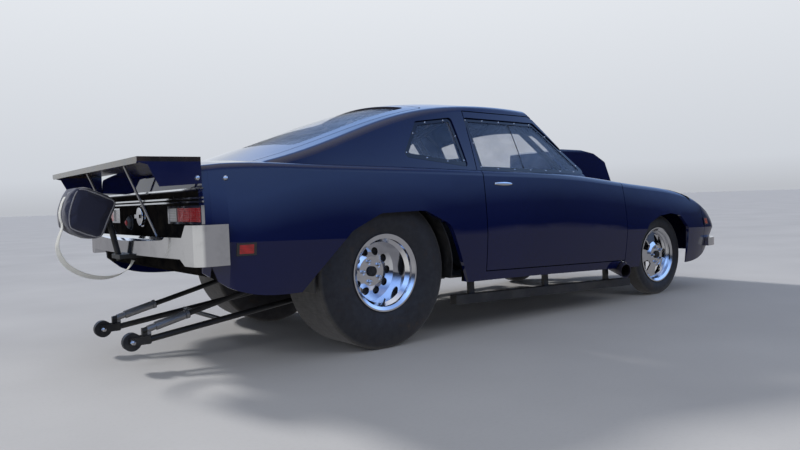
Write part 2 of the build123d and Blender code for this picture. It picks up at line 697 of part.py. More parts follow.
def tail_trim():
    """Bright lamp frames, the mouldings over them and the ring round the filler."""
    frame = lamp_block(15, LAMP_IN_Y, LAMP_OUT_Y, BEZEL)
    for y0, y1 in ((LAMP_IN_Y, LAMP_SPLIT_Y - BEZEL), (LAMP_SPLIT_Y, LAMP_OUT_Y)):
        frame = frame - slab(TAIL_X - 20, TAIL_X, -y1 - FIT, -y0 + FIT, LAMP_Z0 - FIT, LAMP_Z1 + FIT)
    pieces = both_sides(frame)
    for z in MOULDINGS_Z:
        pieces.append(slab(TAIL_X - 9, TAIL_X - FIT, -824, 824, z - 4, z + 4))
    ring = Cylinder(CAP_R + 7, 14) - Cylinder(CAP_R + FIT, 15)
    pieces.append(Pos(TAIL_X - 7 - FIT, 0, CAP_Z) * Rot(0, 90, 0) * ring)
    return Compound(children=pieces)


def filler_cap():
    body = Cylinder(CAP_R, 30)
    body = fillet(body.edges().filter_by(GeomType.CIRCLE).sort_by(Axis.Z)[-1], 6)
    grip = Pos(0, 0, 20) * Box(20, 1.5 * CAP_R, 14)
    return Pos(TAIL_X - 15 - FIT, 0, CAP_Z) * Rot(0, -90, 0) * (body + grip)


# Side lamps. Columns: rear x, front x, foot z, top z, thickness
MARKERS = (
    (-868, -778, 562, 620, 4.2),
    (3170, 3262, 500, 560, 6.7),
)


def marker_section(hull, x, heights, thick):
    """Strip on the right flank at x, through three heights."""
    inner = [(-flank_y(hull, x, z) - FIT, z) for z in heights]
    outer = [(y - thick, z) for y, z in inner]
    rim = [ThreePointArc(*inner), Line(inner[2], outer[2]), ThreePointArc(*outer[::-1]), Line(outer[0], inner[0])]
    return Plane.YZ.offset(x) * make_face(rim)


def side_markers():
    """Thin lamps that follow the flanks, behind the rear wheels and before the front ones."""
    hull = lower_hull()
    pieces = []
    for rear_x, front_x, foot_z, top_z, thick in MARKERS:
        stations = (rear_x, (rear_x + front_x) / 2, front_x)
        heights = (foot_z, (foot_z + top_z) / 2, top_z)
        pieces += both_sides(loft([marker_section(hull, x, heights, thick) for x in stations]))
    return Compound(children=pieces)


def spoiler():
    """Flat blade across the tail with a turned-down edge and an end plate at each side."""
    front = TAIL_X - FIT
    blade = slab(BLADE_X, front, -SPAN_HALF, SPAN_HALF, BLADE_Z, BLADE_Z + BLADE_T)
    blade = blade + slab(BLADE_X, BLADE_X + 8, -SPAN_HALF, SPAN_HALF, BLADE_Z - LIP_H, BLADE_Z)
    outline = ((BLADE_X, BLADE_Z + BLADE_T), (front, BLADE_Z + BLADE_T), (front, 890), (-1170, 880),
               (-1218, 974), (BLADE_X, 986))
    flat = Polygon(*outline, align=None)
    for y in (-SPAN_HALF, SPAN_HALF + END_PLATE_T):
        plane = Plane((0, y, 0), x_dir=(1, 0, 0), z_dir=(0, -1, 0))
        blade = blade + extrude(plane * flat, END_PLATE_T, dir=(0, -1, 0))
    return blade


STAY_Y = 345.0


def spoiler_rods():
    one = rod((-1180, STAY_Y, BLADE_Z - 2.6), (-1040, STAY_Y, BUMPER_Z1 + 2.8), 12)
    return Compound(children=both_sides(one))


def wheelie_bars():
    low_z, high_z = 268, 441
    tail = WHEELIE_X + 55
    bars = []
    for y in (WHEELIE_Y, -WHEELIE_Y):
        side = 1 if y > 0 else -1
        bar = rod((tail, y, 132), (-50, y, low_z), 32)
        bar = bar + rod((tail, y, 182), (-50, y, high_z), 28)
        rise = (high_z - 182) / (-50 - tail)
        for x0, x1, size in ((-1080, -1045, 34), (-1040, -890, 44), (-885, -868, 48)):
            bar = bar + rod((x0, y, 182 + rise * (x0 - tail)), (x1, y, 182 + rise * (x1 - tail)), size)
        bar = bar + slab(tail - 4, tail + 40, y - 10, y + 10, 118, 196)
        gap = WHEELIE_W / 2 + RUN_CLEAR
        for s in (-1, 1):
            y0, y1 = sorted((y + s * gap, y + s * (gap + 6)))
            bar = bar + slab(WHEELIE_X - 16, tail + 30, y0, y1, 118, 158)
        bar = bar + slab(tail + 8, tail + 30, y - gap - 6, y + gap + 6, 118, 158)
        bar = bar + drum(WHEELIE_X, y - gap - 6, y + gap + 6, WHEELIE_Z, 8)
        fork = PLATE_T / 2 + FIT
        bar = bar - slab(PLATE_REAR_X - FIT, 0, y - fork, y + fork, 200, 500)
        bars.append(bar)
    tie = rod((-700, -WHEELIE_Y, 190), (-700, WHEELIE_Y, 190), 24)
    return bars[0] + bars[1] + tie


def wheelie_wheel(y):
    ring = drum(WHEELIE_X, y - WHEELIE_W / 2, y + WHEELIE_W / 2, WHEELIE_Z, WHEELIE_R)
    return ring - drum(WHEELIE_X, y - 60, y + 60, WHEELIE_Z, 8 + FIT)


CORD_W = 46.0
CORD_PATH = ((-1398, 0, 691.1), (-1422.4, 0, 636.3), (-1416, 0, 574), (-1378, 0, 508), (-1300, 0, 458),
             (-1215, 0, 436), (-1135, 0, 444), (-1076, 0, 476), (-1056, 0, 518))


def cord_radii(points):
    radii = []
    for k in range(1, len(points) - 1):
        a, b, c = (Vector(*points[j]) for j in (k - 1, k, k + 1))
        turn = (b - a).get_angle(c - b)
        radii.append(0.45 * min((b - a).length, (c - b).length) / tan(radians(turn / 2)))
    return radii


def chute():
    tilt = Pos(PACK_X, 0, PACK_Z) * Rot(0, PACK_LEAN, 0)
    pack = tilt * Box(PACK_L, 260, PACK_D)
    pack = fillet(pack.edges(), PACK_R)
    hold = rod((-1124, 0, BUMPER_Z0 - 30), (-1182, 0, 800), 30)
    plate = slab(-1144, -996, -70, 70, BUMPER_Z0 - FIT - 22, BUMPER_Z0 - FIT)
    end = Vector(*CORD_PATH[-1])
    way = (end - Vector(*CORD_PATH[-2])).normalized()
    clevis = rod(end + way * FIT, end + way * 24, 26)
    hold = (hold + plate + clevis) - tilt * Box(PACK_L + 2 * FIT, 261, PACK_D + 2 * FIT)
    radii = cord_radii(CORD_PATH)
    print("strap radii", [round(r) for r in radii])
    strap = bent_tube(CORD_PATH, 12, radii)
    return {"chute_pack": pack, "chute_mount": hold, "chute_strap": strap}


def rear_kit():
    made = {"rear_bumper": rear_bumper(), "spoiler": spoiler(), "spoiler_rods": spoiler_rods(),
            "wheelie_bars": wheelie_bars()}
    made["tail_lamps"] = tail_lamps()
    made["tail_trim"] = tail_trim()
    made["filler_cap"] = filler_cap()
    made["side_markers"] = side_markers()
    made["wheelie_wheel_left"] = wheelie_wheel(WHEELIE_Y)
    made["wheelie_wheel_right"] = wheelie_wheel(-WHEELIE_Y)
    made.update(chute())
    return made


# Front kit: scoop, lamps, grille, bumper

def nose_box(y, z, deep, wide, tall, ease=0.0):
    """Box let into the nose, its front flush with the nose's tip."""
    x = NOSE_X - deep / 2
    return Pos(x - ease, y, z) * Box(deep + 2 * ease, wide + 2 * ease, tall + 2 * ease)


SCOOP_HALF = 236.0
MOUTH_HALF = 196.0


def scoop_prism(outline, half, round_top):
    """Outline of x and body height drawn across the car, its top corners rounded."""
    prism = side_prism(outline, -half, half)
    end_view = Polygon((-half, 700), (half, 700), (half - 8, 1160), (-half + 8, 1160), align=None)
    top = [v for v in end_view.vertices() if v.Y > 1000]
    end_view = fillet(top, round_top)
    return prism & extrude(Plane.YZ.offset(1900) * end_view, 1100)


def hood_scoop():
    """Tall air scoop that widens to a forward mouth behind a raked front edge."""
    outer = ((2062, 890), (2070, 1190), (2160, 1212), (2400, 1216), (2560, 1196), (2690, 1140),
             (2706, 1130), (2790, 955), (2818, 880))
    mouth = ((2430, 1010), (2430, 1150), (2540, 1166), (2680, 1112), (2760, 1010), (2870, 1000),
             (2870, 962), (2560, 962))
    return scoop_prism(outer, SCOOP_HALF, 46) - scoop_prism(mouth, MOUTH_HALF, 30)


LAMP_R = 66.0
LAMP_BOX = 150.0


def headlamps():
    """Round domed lens in a square frame, let into each side of the nose."""
    one = nose_box(*NOSE_BOXES[0])
    x = NOSE_X - NOSE_BOXES[0][2]
    y, z = NOSE_BOXES[0][0], NOSE_BOXES[0][1]
    one = one - slab(x + 8, NOSE_X + 5, y - 69, y + 69, z - 36, z + 36)
    lens = Pos(x + 8, y, z) * Rot(0, 90, 0) * Cylinder(34, 14)
    return one + lens


def grille():
    """Frame with thin upright bars before a dark backing."""
    y, z, deep, wide, tall = NOSE_BOXES[2]
    box = nose_box(*NOSE_BOXES[2])
    open_half = wide / 2 - 10
    box = box - slab(NOSE_X - deep + 5, NOSE_X + 5, -open_half, open_half, z - tall / 2 + 7, z + tall / 2 - 7)
    bars = 17
    for k in range(bars):
        at_y = -open_half + (k + 1) * 2 * open_half / (bars + 1)
        box = box + slab(NOSE_X - deep + 4, NOSE_X - 2, at_y - 2, at_y + 2, z - tall / 2 + 4, z + tall / 2 - 4)
    return box + slab(NOSE_X - deep + 4, NOSE_X - 1, -open_half - 2, open_half + 2, z - 3, z + 3)


def front_bumper():
    """Thin bright bar under the nose that wraps back along each fender."""
    rim = [
        Line((3190, -700), (3190, 700)),
        Line((3190, 700), (3190, 846)),
        ThreePointArc((3190, 846), (3330, 818), (3420, 744)),
        ThreePointArc((3420, 744), (NOSE_X, 0), (3420, -744)),
        ThreePointArc((3420, -744), (3330, -818), (3190, -846)),
        Line((3190, -846), (3190, -700)),
    ]
    bar = extrude(Pos(0, 0, 333) * make_face(rim), 64, dir=(0, 0, 1))
    bar = bar - slab(3100, 3390, -760, 760, 300, 420)
    return bar - lower_hull(-FIT)


def front_kit():
    return {"headlamps": Compound(children=both_sides(headlamps())), "grille": grille(),
            "front_bumper": front_bumper()}


# Cabin and drive line

SEAT_Y = 410.0
DASH_X = 1704.0
WHEEL_PLACE = Pos(1560, SEAT_Y, 790) * Rot(0, -65, 0)


def bucket_seat():
    """Racing seat: shell with a raised rim round the base and the back."""
    foot = FLOOR_H + FLOOR_T + FIT
    side = ((930, foot), (1385, foot), (1404, 470), (1370, 500), (1120, 448), (1080, 500), (1000, 960),
            (975, 1010), (905, 1000), (898, 960), (930, 470))
    seat = side_prism(side, SEAT_Y - 230, SEAT_Y + 230, 12)
    hollow = ((1140, 476), (1420, 520), (1420, 700), (1200, 700), (1040, 930), (1020, 920), (1090, 520))
    return seat - side_prism(hollow, SEAT_Y - 170, SEAT_Y + 170, 12) + side_prism(
        ((1110, 452), (1350, 476), (1360, 490), (1120, 470)), SEAT_Y - 172, SEAT_Y + 172)


def dashboard():
    """Flat racing dash with a hooded cluster before the driver, and its stay to the firewall."""
    board = side_prism(((DASH_X, 770), (DASH_X, 860), (1730, 888), (1880, 880), (1880, 866), (1740, 872),
                        (1724, 856), (1724, 770)), -640, 640)
    hood = side_prism(((1640, 872), (1650, 930), (1760, 940), (1790, 880)), SEAT_Y - 150, SEAT_Y + 150, 10)
    hood = hood - side_prism(((1600, 880), (1600, 918), (1700, 926), (1700, 886)), SEAT_Y - 138, SEAT_Y + 138)
    stay = slab(1860, FIREWALL_X - FIT, -60, 60, 796, 812)
    return board + hood + stay


def steering_wheel():
    """Rim, dished spokes and hub on a column that reaches the dash."""
    wheel = Rot(0, 0, 20) * Torus(170, 14)
    hub = Pos(0, 0, -20) * Cylinder(46, 26) + Pos(0, 0, -100) * Cylinder(19, 150)
    for turn in (90, 210, 330):
        wheel = wheel + Rot(0, 0, turn) * Pos(104, 0, -10) * Box(124, 24, 5)
    wheel = WHEEL_PLACE * (wheel + hub)
    return wheel - slab(DASH_X - FIT, 1900, SEAT_Y - 60, SEAT_Y + 60, 600, 800)


def cabin_kit():
    made = {}
    base = ARM_PIN_LOW_Z - 22 + 60
    made["engine_block"] = slab(2180, 2760, -235, 235, base, 700) + slab(1480, 2200, -125, 125, 190, 400)
    made["driveshaft"] = rod((173.6, 0, 400), (1476.4, 0, 300), 80)
    made["seats"] = Compound(children=both_sides(bucket_seat()))
    made["dashboard"] = dashboard()
    made["steering_wheel"] = steering_wheel()
    made["fuel_cell"] = slab(-860, -540, -230, 230, 533, 700)
    return made


RAIL_REAR_X = 505.0
RAIL_FRONT_X = 2190.0
RAIL_LOW_H = 190.0
RAIL_HIGH_H = 243.0
RAIL_IN_Y = 745.0
RAIL_OUT_Y = 800.0


def frame_rails():
    rail = side_prism(((RAIL_REAR_X, RAIL_LOW_H), (RAIL_REAR_X, RAIL_HIGH_H), (RAIL_FRONT_X, RAIL_HIGH_H),
                       (RAIL_FRONT_X, RAIL_LOW_H)), RAIL_IN_Y, RAIL_OUT_Y)
    for x in (660, 1320, 1960):
        top = FLOOR_H - FIT
        rail = rail + side_prism(((x - 20, RAIL_LOW_H), (x - 20, top), (x + 20, top), (x + 20, RAIL_LOW_H)),
                                 RAIL_IN_Y, RAIL_IN_Y + 22)
    return Compound(children=both_sides(rail))


PIPE_D = 96.0
PIPE_WALL = 3.0
PIPE_PATH = ((2340, 236, 280), (2340, 360, 280), (2190, 600, 278), (1975, 930, 236))
PIPE_CUT_Y = 901.0


def pipe_cut():
    """Clearance for the right outlet pipe through the rocker behind the front wheel."""
    (x0, y0, z0), (x1, y1, z1) = PIPE_PATH[-2:]
    return rod((x0, -y0, z0), (x1, -y1, z1), PIPE_D + 14)


def exhaust():
    """Outlet pipe on each side, cut off in line with the body's flank."""
    outer = bent_tube(PIPE_PATH, PIPE_D, (90, 150))
    x, z = PIPE_PATH[0][0], PIPE_PATH[0][2]
    flange = slab(x - 65, x + 65, 235 + FIT, 247, z - 60, z + 60)
    pipe = outer + flange - bent_tube(PIPE_PATH, PIPE_D - 2 * PIPE_WALL, (90, 150))
    pipe = pipe & slab(1700, 2600, 235 + FIT, PIPE_CUT_Y, 100, 500)
    return Compound(children=both_sides(pipe))


CAGE_D = 41.0
FOOT_T = 6.0


def cage_foot(x, y, h):
    """Plate under a cage tube, standing on a floor of body height h."""
    z = max(lift(x - 50, h), lift(x + 50, h)) + FIT
    return slab(x - 50, x + 50, y - 45, y + 45, z, z + FOOT_T)


def roll_cage():
    floor_h = FLOOR_H + FLOOR_T
    hoop = bent_tube(((720, 735, 340), (720, 735, 830), (745, 545, 1285), (745, -545, 1285),
                      (720, -735, 830), (720, -735, 340)), CAGE_D, (300, 150, 150, 300))
    cage = hoop + rod((730, 655, 1010), (730, -655, 1010), 35)
    for s in (-1, 1):
        stay = rod((740, s * 470, 1280), (-372, s * 330, 632), 35)
        front = bent_tube(((745, s * 505, 1283), (1300, s * 505, 1283), (1700, s * 650, 900),
                           (1850, s * 722, 640), (1860, s * 726, 298)), 38, (140, 140, 140))
        door_bar = rod((722, s * 734, 700), (1852, s * 722, 480), 35)
        cage = cage + stay + front + door_bar
        for x, y, h in ((720, 732, floor_h), (-375, 330, HUMP_H), (1860, 726, floor_h)):
            cage = cage + cage_foot(x, s * y, h)
    return cage


# Export

def main():
    parts = {}
    parts.update(cut_body())
    parts.update(glazing())
    parts["floor_pan"] = floor_pan()
    parts.update(wheels())
    parts["rear_axle"] = rear_axle()
    parts["ladder_bars"] = ladder_bars()
    parts["knuckle_left"] = knuckle()
    parts["knuckle_right"] = mirror(parts["knuckle_left"], Plane.XZ)
    low, high = front_arms()
    parts["front_arms"] = Compound(children=both_sides(low) + both_sides(high))
    parts["front_crossmember"] = crossmember()
    parts["frame_rails"] = frame_rails()
    parts["exhaust"] = exhaust()
    parts["roll_cage"] = roll_cage()
    parts.update(rear_kit())
    parts.update(front_kit())
    parts.update(cabin_kit())
    os.makedirs("parts", exist_ok=True)
    for name, piece in parts.items():
        solids = [Pos(-MID_X, 0, 0) * one for one in piece.solids()]
        whole = solids[0] if len(solids) == 1 else Compound(children=solids)
        export_step(whole, "parts/" + name + ".step")


main()
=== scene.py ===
from math import ceil, cos, pi, radians, sin, tan

import bmesh
import bpy
from mathutils import Matrix, Vector
from mathutils.bvhtree import BVHTree


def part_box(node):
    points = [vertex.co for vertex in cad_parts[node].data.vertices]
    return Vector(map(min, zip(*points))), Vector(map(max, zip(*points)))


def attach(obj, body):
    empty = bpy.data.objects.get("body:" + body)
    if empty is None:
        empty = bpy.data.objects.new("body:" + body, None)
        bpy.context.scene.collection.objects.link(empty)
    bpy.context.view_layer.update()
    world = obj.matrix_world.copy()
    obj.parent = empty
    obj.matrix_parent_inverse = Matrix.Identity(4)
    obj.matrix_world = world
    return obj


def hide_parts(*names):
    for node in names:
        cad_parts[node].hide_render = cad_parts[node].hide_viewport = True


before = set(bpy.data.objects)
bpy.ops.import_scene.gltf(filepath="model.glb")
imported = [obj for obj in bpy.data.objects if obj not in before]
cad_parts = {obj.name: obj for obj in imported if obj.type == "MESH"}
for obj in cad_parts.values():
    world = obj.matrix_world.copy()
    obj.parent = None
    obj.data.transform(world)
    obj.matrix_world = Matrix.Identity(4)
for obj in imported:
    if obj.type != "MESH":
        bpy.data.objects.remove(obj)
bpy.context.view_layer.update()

bl_info = {
    "name": "Race coupe dressing",
    "version": (1, 0, 0),
    "blender": (4, 5, 0),
    "location": "View3D > Sidebar > Race coupe",
    "description": "Dresses the packed race coupe with finishes, fabric and small parts",
    "category": "Object",
}

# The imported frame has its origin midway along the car. Points in this file are
# given from the rear axle, as on a drawing of the car, and moved by AXLE_X.
AXLE_X = -1.018737
# The body sits nose down by this slope, and heights on it are measured square to it.
RAKE = 0.035
SIDES = ((-1, "right"), (1, "left"))


def at(x, y, z):
    """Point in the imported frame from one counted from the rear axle, both in metres."""
    return Vector((x + AXLE_X, y, z))


def on_body(x, y, h):
    """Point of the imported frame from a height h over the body's own level."""
    return at(x, y, h - RAKE * x)


# Settings that a user would change

def length_prop(name, about, size, low, high):
    return bpy.props.FloatProperty(name=name, description=about, default=size, min=low, max=high,
                                   subtype="DISTANCE", unit="LENGTH")


def colour_prop(name, about, value):
    return bpy.props.FloatVectorProperty(name=name, description=about, default=value, min=0, max=1,
                                         size=3, subtype="COLOR")


class CarSizes(bpy.types.PropertyGroup):
    """Sizes of the small parts that dress the car."""

    nut_width: length_prop("Lug nut width", "Width of a lug nut across its flats",
                           0.022, 0.01, 0.04)
    screw_head: length_prop("Window screw head", "Diameter of a screw that holds a side window",
                            0.012, 0.004, 0.02)
    screw_pitch: length_prop("Window screw pitch", "Distance from one window screw to the next",
                             0.15, 0.03, 0.3)
    border_width: length_prop("Window border", "Width of the dark border round a window",
                              0.026, 0.005, 0.05)
    bolt_head: length_prop("Bolt head", "Diameter of a bright bolt on the spoiler and the quarters",
                           0.026, 0.01, 0.04)
    strap_width: length_prop("Strap width", "Width of the parachute strap", 0.046, 0.02, 0.08)
    strap_thickness: length_prop("Strap thickness", "Thickness of the parachute strap",
                                 0.003, 0.001, 0.006)


class CarColours(bpy.types.PropertyGroup):
    """Colours of the car's finishes."""

    paint: colour_prop("Body paint", "Deep navy of the painted panels", (0.0028, 0.006, 0.052))
    rubber: colour_prop("Rubber", "Black of the tyres", (0.011, 0.0105, 0.013))
    fabric: colour_prop("Pack fabric", "Blue black of the parachute pack", (0.008, 0.009, 0.026))
    webbing: colour_prop("Webbing", "Grey of the parachute strap", (0.5, 0.5, 0.47))
    lens: colour_prop("Red lens", "Red of the tail lamps and side markers", (0.42, 0.01, 0.012))


# Shader maths

def math_node(tree, operation, *terms, clamp=False):
    node = tree.nodes.new("ShaderNodeMath")
    node.operation = operation
    node.use_clamp = clamp
    for socket, term in zip(node.inputs, terms):
        put(tree, socket, term)
    return Field(tree, node.outputs[0])


class Field:
    """A value that a shader node gives. Python's operators on it add Math nodes."""

    def __init__(self, tree, out):
        self.tree = tree
        self.out = out

    def math(self, operation, *others, clamp=False):
        return math_node(self.tree, operation, self, *others, clamp=clamp)

    def __add__(self, other):
        return self.math("ADD", other)

    def __sub__(self, other):
        return self.math("SUBTRACT", other)

    def __rsub__(self, other):
        return math_node(self.tree, "SUBTRACT", other, self)

    def __mul__(self, other):
        return self.math("MULTIPLY", other)

    __radd__ = __add__
    __rmul__ = __mul__


def put(tree, socket, value):
    """Links a field to a socket, or sets a plain value on it."""
    if isinstance(value, Field):
        tree.links.new(value.out, socket)
    else:
        socket.default_value = value


def shade(colour, share, lift=0.0):
    """Colour made darker or lighter by a share, then lifted."""
    return tuple(min(1, c * share + lift) for c in colour)


class Finish:
    """A material in the making: its main shader, and short ways to add nodes."""

    def __init__(self, name, colour, roughness, metallic=0.0, **constants):
        self.material = bpy.data.materials.new(name)
        self.material.use_nodes = True
        self.tree = self.material.node_tree
        self.shader = self.tree.nodes["Principled BSDF"]
        self.material.diffuse_color = (*colour, 1)
        self.set("Base Color", (*colour, 1))
        self.set("Roughness", roughness)
        self.set("Metallic", metallic)
        for key, value in constants.items():
            self.set(key.replace("_", " ").title().replace("Ior", "IOR"), value)
        self.place = self.node("ShaderNodeTexCoord", output="Object")

    def node(self, kind, settings=(), inputs=(), output=0):
        made = self.tree.nodes.new(kind)
        for key, value in dict(settings).items():
            setattr(made, key, value)
        for key, value in dict(inputs).items():
            put(self.tree, made.inputs[key], value)
        return Field(self.tree, made.outputs[output])

    def set(self, socket, value):
        put(self.tree, self.shader.inputs[socket], value)

    def noise(self, scale, detail=3.0, fine=0.5, place=None):
        return self.node("ShaderNodeTexNoise", (), {
            "Vector": place or self.place, "Scale": scale, "Detail": detail, "Roughness": fine})

    def moved(self, centre=(0, 0, 0), scale=(1, 1, 1)):
        """Coordinates counted from centre and stretched by scale."""
        return self.node("ShaderNodeMapping", {"vector_type": "TEXTURE"}, {
            "Vector": self.place, "Location": tuple(centre), "Scale": scale})

    def brushed(self, scale, run):
        """Noise drawn out along the car."""
        return self.noise(scale, 5, 0.6, self.moved(scale=(run, 0.02, 0.02)))

    def axis(self, name, place=None):
        return self.node("ShaderNodeSeparateXYZ", (), {"Vector": place or self.place}, name)

    def outboard(self):
        """Distance from the car's middle plane."""
        return self.axis("Y").math("ABSOLUTE")

    def band(self, value, low, high, to_low=0.0, to_high=1.0):
        """Goes from to_low to to_high as the value goes from low to high, and stays there."""
        return self.node("ShaderNodeMapRange", {"clamp": True}, {
            "Value": value, "From Min": low, "From Max": high,
            "To Min": to_low, "To Max": to_high})

    def span(self, mask, start, end):
        return self.band(mask, 0.0, 1.0, start, end)

    def within(self, value, low, high, soft=0.001):
        """Mask of the values from low to high, with soft edges."""
        return self.band(value, low, low + soft) * self.band(value, high, high - soft)

    def patches(self, scale, detail, low, high, to_low=0.0, to_high=1.0, fine=0.5):
        """Band of a noise's values."""
        return self.band(self.noise(scale, detail, fine), low, high, to_low, to_high)

    def mix(self, mask, first, second):
        node = self.tree.nodes.new("ShaderNodeMix")
        node.data_type = "RGBA"
        put(self.tree, node.inputs[0], mask)
        for index, colour in ((6, first), (7, second)):
            value = colour if isinstance(colour, Field) else (*colour, 1)
            put(self.tree, node.inputs[index], value)
        return Field(self.tree, node.outputs[2])

    def done(self, tone, rough, height, distance, strength):
        """The material, with its colour, roughness and bump set."""
        self.set("Base Color", tone)
        self.set("Roughness", rough)
        self.set("Normal", self.node("ShaderNodeBump", (), {
            "Height": height, "Distance": distance, "Strength": strength}, "Normal"))
        return self.material


# Places that the finishes read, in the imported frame

REAR_TYRE_R, FRONT_TYRE_R = 0.405, 0.302
REAR_HUB = at(0, 0, REAR_TYRE_R)
FRONT_HUB = at(2.616, 0, FRONT_TYRE_R)
# Boxes of the side lamps: low x, high x, low z, high z
REAR_MARKER = (at(-0.868, 0, 0).x, at(-0.778, 0, 0).x, 0.562, 0.620)
FRONT_MARKER = (at(3.170, 0, 0).x, at(3.262, 0, 0).x, 0.500, 0.560)
# Width of the black frame round a side lamp's lens, along the car and upright
MARKER_RIM_X, MARKER_RIM_Z = 0.012, 0.0084
# Two points of the line midway between the lower and upper wheelie bars, x and z
SLEEVE_LINE = ((at(-1.105, 0, 0).x, 0.157), (at(-0.05, 0, 0).x, 0.3545))
SLEEVE_FROM, SLEEVE_TO = at(-1.085, 0, 0).x, at(-0.868, 0, 0).x
LAMP_SPLIT_Y = 0.523
OUTLET_EDGE_Y = 0.912
SPOILER_PLATE_Y = 0.8
SPOILER_FLANGE_Z = 0.984
# Near-black goes inboard of the first and below the second: painted shade in the wheel wells and
# under the body on the shell, and the panel's dark middle on the tail
SHELL_HIDDEN_Y, SHELL_HIDDEN_Z = 0.812, 0.80
TAIL_HIDDEN_Y, TAIL_HIDDEN_Z = 0.765, 0.87
HIDDEN_TO_X = at(3.0, 0, 0).x
# Half the pitch of the prisms moulded inside a lens, and the heights between which they shade
PRISM = 0.004
PRISM_LOW, PRISM_HIGH = 0.001, 0.006
LENS_ROUGH = 0.12

# Dirt, and the near-black of hidden surfaces
ROAD_DUST = (0.09, 0.083, 0.075)
SETTLED_DUST = (0.14, 0.13, 0.115)
SOOT = (0.05, 0.04, 0.035)
# Near-black with lighter patches: painted shade on the shell's wheel wells and underside, and the
# tail panel's dark middle
HIDDEN_DARK, HIDDEN_LIGHTER = (0.005, 0.005, 0.006), (0.016, 0.014, 0.012)


# Finishes

def paint_finish(name, colour, hidden_y=None, hidden_z=None):
    """Deep gloss paint with fine flake and low dust, and near-black where both limits are met:
    painted shade on the shell, the panel's dark middle on the tail.
    """
    f = Finish(name, colour, 0.35, 0.0, specular_ior_level=0.0, coat_weight=1.0,
               coat_roughness=0.02)
    tone = f.mix(f.patches(500, 1, 0.42, 0.7), colour, shade(colour, 1.2))
    tone = f.mix(f.patches(1.4, 2, 0.3, 0.7, 0.0, 0.5), tone, shade(colour, 0.62))
    low = f.band(f.axis("Z"), 0.48, 0.2)
    dust = low * f.patches(9, 5, 0.42, 0.75, fine=0.6) * 0.16
    tone = f.mix(dust, tone, ROAD_DUST)
    shine = 1 - dust * 2
    # Painted shade in the shell's wheel wells and underside, and the tail panel's dark middle:
    # near-black with no coat
    if hidden_y:
        hidden = (f.band(f.outboard(), hidden_y, hidden_y - 0.004)
                  * f.band(f.axis("Z"), hidden_z, hidden_z - 0.01)
                  * f.band(f.axis("X"), HIDDEN_TO_X, HIDDEN_TO_X - 0.01))
        hidden_tone = f.mix(f.patches(14, 5, 0.35, 0.7, fine=0.6), HIDDEN_DARK, HIDDEN_LIGHTER)
        tone = f.mix(hidden, tone, hidden_tone)
        shine = shine * (1 - hidden)
    f.set("Coat Weight", shine)
    rough = f.patches(6, 4, 0.3, 0.75, 0.3, 0.45) + dust
    return f.done(tone, rough, f.noise(2.2, 2), 0.0012, 0.2)


def bright_finish(name, colour, rough, smudge=0.08, hub=None):
    """Chrome or polished metal with smudges, and turning marks about a hub if given."""
    f = Finish(name, colour, rough, 1.0)
    film = f.noise(11, 6, 0.62)
    fine = f.noise(70, 3)
    tone = f.mix(f.band(film, 0.45, 0.8, 0.0, 0.6), colour, shade(colour, 0.72))
    rough = f.band(film, 0.35, 0.8, rough, rough + smudge) + f.band(fine, 0.5, 0.8, 0.0, 0.03)
    height = fine * 0.4
    if hub:
        rings = f.node("ShaderNodeCombineXYZ", (), {"X": radial_distance(f, hub) * 900})
        height = height + f.noise(1.0, 0, place=rings) * 0.8
    return f.done(tone, rough, height, 0.00008, 0.3)


def radial_distance(f, centre):
    """Distance from an axle that runs across the car through centre."""
    place = f.moved(centre)
    x, z = f.axis("X", place), f.axis("Z", place)
    return (x * x + z * z).math("POWER", 0.5)


def rubber_finish(name, colour, centre, tread_r):
    """Worn tyre rubber: ringed sidewall with brown scuffs, greyer scrubbed tread."""
    f = Finish(name, colour, 0.72, 0.0, sheen_weight=0.08, sheen_roughness=0.6)
    reach = radial_distance(f, centre)
    tread = f.band(reach, tread_r - 0.02, tread_r - 0.004)
    scuff = f.patches(15, 6, 0.56, 0.72, fine=0.65) * f.patches(3.2, 2, 0.4, 0.6)
    streak = f.noise(3.0, 6, 0.7, f.moved(centre, (0.02, 0.35, 0.02)))
    side = f.mix(scuff * 0.55, colour, (0.075, 0.048, 0.03))
    side = f.mix(f.patches(45, 4, 0.5, 0.85) * 0.35, side, (0.03, 0.029, 0.034))
    worn = f.mix(f.band(streak, 0.35, 0.7), (0.04, 0.037, 0.034), (0.075, 0.07, 0.064))
    rings = (reach * 1400).math("SINE") * (1 - tread)
    height = rings * 0.25 + f.noise(420, 3, 0.6) * 0.5 + f.noise(60, 4) * tread * 0.8
    rough = f.patches(30, 4, 0.3, 0.75, 0.6, 0.86)
    return f.done(f.mix(tread, side, worn), rough, height, 0.0005, 0.5)


def coat_finish(name, colour, rough, dust=0.35, grain=260.0, metal=0.0):
    """Painted or moulded surface with fine grain, dust and rubbed places."""
    f = Finish(name, colour, rough, metal)
    film = f.patches(8, 6, 0.45, 0.75, fine=0.6)
    tone = f.mix(f.patches(34, 4, 0.58, 0.75, 0.0, 0.5), colour, shade(colour, 2.2, 0.02))
    rough = f.patches(17, 4, 0.3, 0.7, rough, min(1, rough + 0.18))
    return f.done(f.mix(film * dust, tone, SETTLED_DUST), rough, f.noise(grain, 2), 0.0002, 0.4)


def steel_finish(name, colour, rough):
    """Bare tube with brushed grain and stains."""
    f = Finish(name, colour, rough, 0.9)
    grain = f.brushed(6, 0.4)
    stain = f.patches(12, 5, 0.45, 0.72, 0.0, 0.6, fine=0.6)
    rough = f.band(grain, 0.3, 0.7, rough, rough + 0.2)
    return f.done(f.mix(stain, colour, shade(colour, 0.45)), rough,
                  grain + f.noise(200, 2) * 0.3, 0.0002, 0.4)


